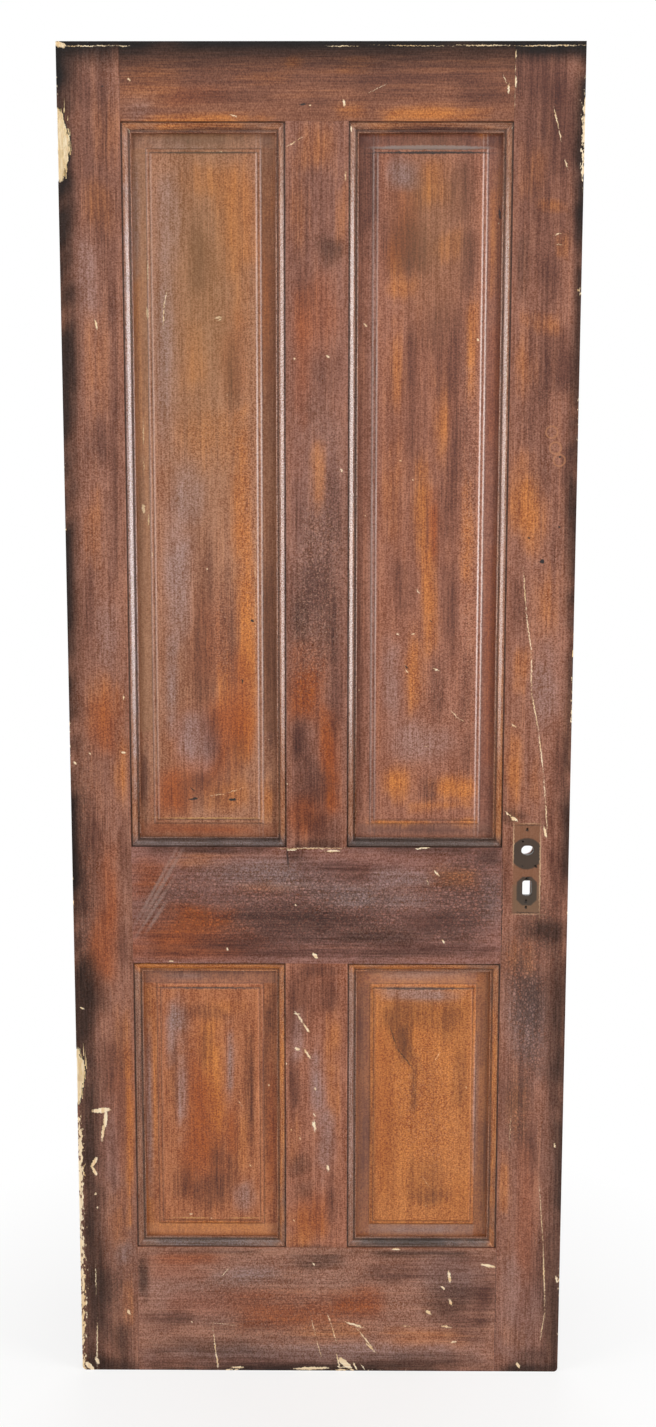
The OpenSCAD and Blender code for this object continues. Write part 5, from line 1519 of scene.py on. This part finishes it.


# %% [markdown]
# The eight surrounds take their openings from the strips they replace. Their strokes say which strips
# are sooty, dusty or rubbed to orange, and the grey and orange strokes down the upper side strips
# also lighten them as a painted highlight. The sills along the bottom are painted a dark grey-green,
# partly dust and partly a painted dark reflection.

# %% Moulding finish and strokes
# Down the upper side strips at 98, 322 and 653 across, the grey and orange strokes are partly a painted
# highlight; on the bottom strips the grey and black strokes are dust and a painted dark reflection.
MOULDING_STROKES = [
    (210, 117, 112, 7, "orange", 0.7), (210, 120, 112, 8, "dark", 0.55),
    (540, 117, 112, 7, "orange", 0.4), (540, 120, 112, 8, "dark", 0.85), (98, 640, 8, 560, "grey", 0.8),
    (98, 640, 8, 900, "orange", 0.35), (322, 640, 8, 560, "grey", 0.4),
    (322, 640, 8, 900, "orange", 0.5), (430, 640, 8, 560, "dark", 0.35),
    (653, 640, 8, 560, "grey", 0.35), (653, 640, 8, 900, "orange", 0.5),
    (653, 930, 8, 300, "orange", 0.7), (210, 1170, 400, 9, "grey", 0.6),
    (210, 1172, 300, 12, "black", 0.5), (540, 1170, 400, 9, "grey", 0.4),
    (540, 1172, 400, 12, "black", 0.6), (210, 1367, 300, 9, "orange", 0.9),
    (540, 1367, 112, 7, "orange", 0.75), (98, 1590, 8, 240, "dark", 0.25),
    (430, 1590, 8, 240, "grey", 0.3), (653, 1590, 8, 300, "orange", 0.8),
    (320, 1590, 8, 300, "orange", 0.8), (210, 1817, 124, 8, "grey", 0.8),
    (210, 1817, 124, 8, "black", 0.45), (540, 1817, 124, 8, "grey", 0.8),
    (540, 1817, 124, 8, "black", 0.7), (380, 640, 300, 600, "pebble", 0.9),
]
MOULDING_PALE = [
    (102, 120, 104, 124, 1.2), (424, 116, 426, 124, 1), (657, 120, 660, 114, 0.8),
    (333, 115, 329, 124, 0.8), (102, 300, 102, 460, 0.3), (423, 180, 423, 320, 0.5),
    (655, 300, 655, 640, 0.3),
]
HOLLOW_DIRT_AND_SHADE_COLOUR, HOLLOW_DIRT_AND_SHADE_SHARE = "#1c1310", 0.36
PANES = ("upper_hinge", "upper_lock", "lower_hinge", "lower_lock")
FIRST_SEED = 20
MITRE_GAP = 0.1 * MM
STRIP_SPACING = 10 * MM
SMOOTH_ANGLE = math.radians(28)
# The quirk and the groove are darkened: partly dirt and partly painted shade.
QUIRK_DIRT_AND_SHADE = (1.1, 1.3)
GROOVE_DIRT_AND_SHADE = (10.9, 1.2)


def hollow_dirt(tree, flat, ragged, front, finish):
    """Dirt and painted shade in the two hollows of a moulding, found by the place across its strip."""
    strip = add(tree, "ShaderNodeAttribute", attribute_name="strip").outputs["Vector"]
    across = add(tree, "ShaderNodeSeparateXYZ", {0: strip}).outputs["X"]
    for middle, half_width in (QUIRK_DIRT_AND_SHADE, GROOVE_DIRT_AND_SHADE):
        inside = near_value(tree, across, middle, half_width)
        lay_tint(tree, finish, inside, 1.0, HOLLOW_DIRT_AND_SHADE_COLOUR, HOLLOW_DIRT_AND_SHADE_SHARE)


# The bottom strips are painted a dark grey-green: dust, and a painted dark reflection.
SILL_DUST_AND_DARK_REFLECTION = [("#23221b", 0.15, 104, 1163, 317, 1176), ("#23221b", 0.35, 435, 1163, 647, 1176),
             ("#33331f", 0.2, 104, 1810, 315, 1823), ("#2b2b1c", 0.25, 437, 1810, 647, 1823)]

moulding_finish = varnished("varnish_moulding", "#84563f", MOULDING_PALE, strip="strip", gloss=0.4,
                            over=all_over(hollow_dirt, tinted_boxes(SILL_DUST_AND_DARK_REFLECTION)))

seed = FIRST_SEED
for pane in PANES:
    centre, width, height = opening_box(pane)
    for face, facing in (("front", math.pi / 2), ("back", -math.pi / 2)):
        name = f"{face}_{pane}_surround"
        piece = grown(name, surround, {
            "Profile": profile, "Width": width, "Height": height, "Centre": centre, "Facing": facing,
            "Mitre gap": MITRE_GAP, "Spacing": STRIP_SPACING, "Finish": moulding_finish})
        piece.data.shade_smooth()
        piece.data.set_sharp_from_angle(angle=SMOOTH_ANGLE)
        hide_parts(*[f"{face}_{pane}_{side}_moulding" for side in SIDES])
        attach(piece, "root")
        polished.objects.link(piece)
        brush(piece, MOULDING_STROKES, seed)
        seed += 1
bpy.data.objects.remove(profile)

# %% [markdown]
# Where the hinges were pulled off, long splinters stand in the tear. Geometry Nodes scatters
# slender cones over the sloping faces of the tear, along the grain, with a fixed seed. The bed they
# stand on is a copy of those faces.

# %% Splinters in the tears
BED_TILT, BED_FRONT = (0.1, 0.75), -0.5
SPLINTER_L, SPLINTER_R = 16 * MM, 0.5 * MM
SPLINTERS_PER_M2, SPLINTER_SEED = 45000.0, 3
LEAN_LOW, LEAN_HIGH = (-0.03, -0.04, 0), (0.03, 0.04, 6.28)
SIZE_LOW, SIZE_HIGH = (0.6, 0.6, 0.4), (1.5, 1.5, 1.7)

splinter_tree, given, out = new_group(
    "torn_splinters", "GeometryNodeTree",
    {"Geometry": "Geometry", "Length": "Float", "Radius": "Float", "Density": "Float", "Seed": "Int",
     "Finish": "Material"},
    {"Geometry": "Geometry"})
cone = add(splinter_tree, "GeometryNodeMeshCone",
           {"Vertices": 5, "Radius Top": 0.0, "Radius Bottom": given["Radius"], "Depth": given["Length"]})
spots = add(splinter_tree, "GeometryNodeDistributePointsOnFaces",
            {"Mesh": given["Geometry"], "Density": given["Density"], "Seed": given["Seed"]})
lean = add(splinter_tree, "FunctionNodeRandomValue",
           {0: LEAN_LOW, 1: LEAN_HIGH, "Seed": given["Seed"]}, data_type="FLOAT_VECTOR")
size = add(splinter_tree, "FunctionNodeRandomValue",
           {0: SIZE_LOW, 1: SIZE_HIGH, "Seed": given["Seed"]}, data_type="FLOAT_VECTOR")
stood = add(splinter_tree, "GeometryNodeInstanceOnPoints",
            {"Points": spots.outputs["Points"], "Instance": cone.outputs["Mesh"], "Rotation": lean,
             "Scale": size})
real = add(splinter_tree, "GeometryNodeRealizeInstances", {"Geometry": stood})
painted = add(splinter_tree, "GeometryNodeSetMaterial", {"Geometry": real, "Material": given["Finish"]})
splinter_tree.links.new(painted.outputs[0], out.inputs[0])


def tear_bed():
    """The sloping faces of the hinge stile's front arris, as a mesh of their own."""
    solid = merged_solid("hinge_stile")
    solid.normal_update()
    drop = [f for f in solid.faces
            if not (BED_TILT[0] < -f.normal.x < BED_TILT[1] and f.normal.y < BED_FRONT)]
    bmesh.ops.delete(solid, geom=drop, context="FACES")
    mesh = bpy.data.meshes.new("tear_bed")
    solid.to_mesh(mesh)
    solid.free()
    print("tear bed of", len(mesh.polygons), "faces")
    return mesh


splinters = grown("hinge_tear_splinters", splinter_tree, {
    "Length": SPLINTER_L, "Radius": SPLINTER_R, "Density": SPLINTERS_PER_M2, "Seed": SPLINTER_SEED,
    "Finish": torn_pine}, base=tear_bed())
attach(splinters, "root")
print(splinters.name, len(splinters.data.polygons), "faces")

# %% [markdown]
# The last finishes go on faces that the varnish never reached: the recesses, the pocket and the
# ends of boards and tenons. They are picked by where they lie and which way they look.

# %% Recesses, pocket, ends and wedges
SKIN, SQUARE_ON = 0.3, 0.9
POCKET_BOX = ((292, -8.4, 745), (380.7, 11.4, 890))
GAIN_HALF_H, GAIN_MIDDLES = 44.4, (1888, 492)
GAIN_REACH, GAIN_HALF_T, GAIN_FRONT, GAIN_TURN = 40, 17, -12.7, -0.3


def in_box(point, box):
    """Whether a point in millimetres lies in a box given by two corners."""
    return all(low < value < high for value, low, high in zip(point, *box))


def bare_faces(node, is_bare, is_end):
    """Give bare and end-grain faces of a board their own finish."""
    mesh = boards[node].data
    mesh.materials.append(aged_pine)
    mesh.materials.append(end_grain)
    counts = [0, 0]
    for face in mesh.polygons:
        middle = [value / MM for value in face.center]
        if is_bare(middle, face.normal):
            face.material_index = 1
            counts[0] += 1
        elif is_end(middle, face.normal):
            face.material_index = 2
            counts[1] += 1
    print(node, counts[0], "bare faces,", counts[1], "end-grain faces")


def in_hinge_gain(middle, normal):
    """Inside one of the two hinge recesses on the edge."""
    deep = -LEAF_W / 2 + SKIN < middle[0] < -LEAF_W / 2 + GAIN_REACH
    tall = any(abs(middle[2] - z) < GAIN_HALF_H for z in GAIN_MIDDLES)
    behind = GAIN_FRONT < middle[1] < GAIN_HALF_T and normal.y > GAIN_TURN
    return deep and tall and behind


def in_lock_pocket(middle, normal):
    """Inside the pocket of the lost lock, or the holes that lead to it."""
    return in_box(middle, POCKET_BOX)


def stile_end(middle, normal):
    """The cut ends of an upright board."""
    return abs(normal.z) > SQUARE_ON and (middle[2] < SKIN or middle[2] > LEAF_H - SKIN)


def rail_end(middle, normal):
    """The ends of a rail's tenons, flush with the leaf's edges."""
    return abs(normal.x) > SQUARE_ON and abs(middle[0]) > LEAF_W / 2 - SKIN


def never(middle, normal):
    """No bare faces on this board."""
    return False


bare_faces("hinge_stile", in_hinge_gain, stile_end)
bare_faces("lock_stile", in_lock_pocket, stile_end)
for node in ("top_rail", "lock_rail", "bottom_rail"):
    bare_faces(node, never, rail_end)
for node in ("hinge_edge_wedges", "lock_edge_wedges"):
    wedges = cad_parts[node].data
    wedges.materials.clear()
    wedges.materials.append(wedge_pine)
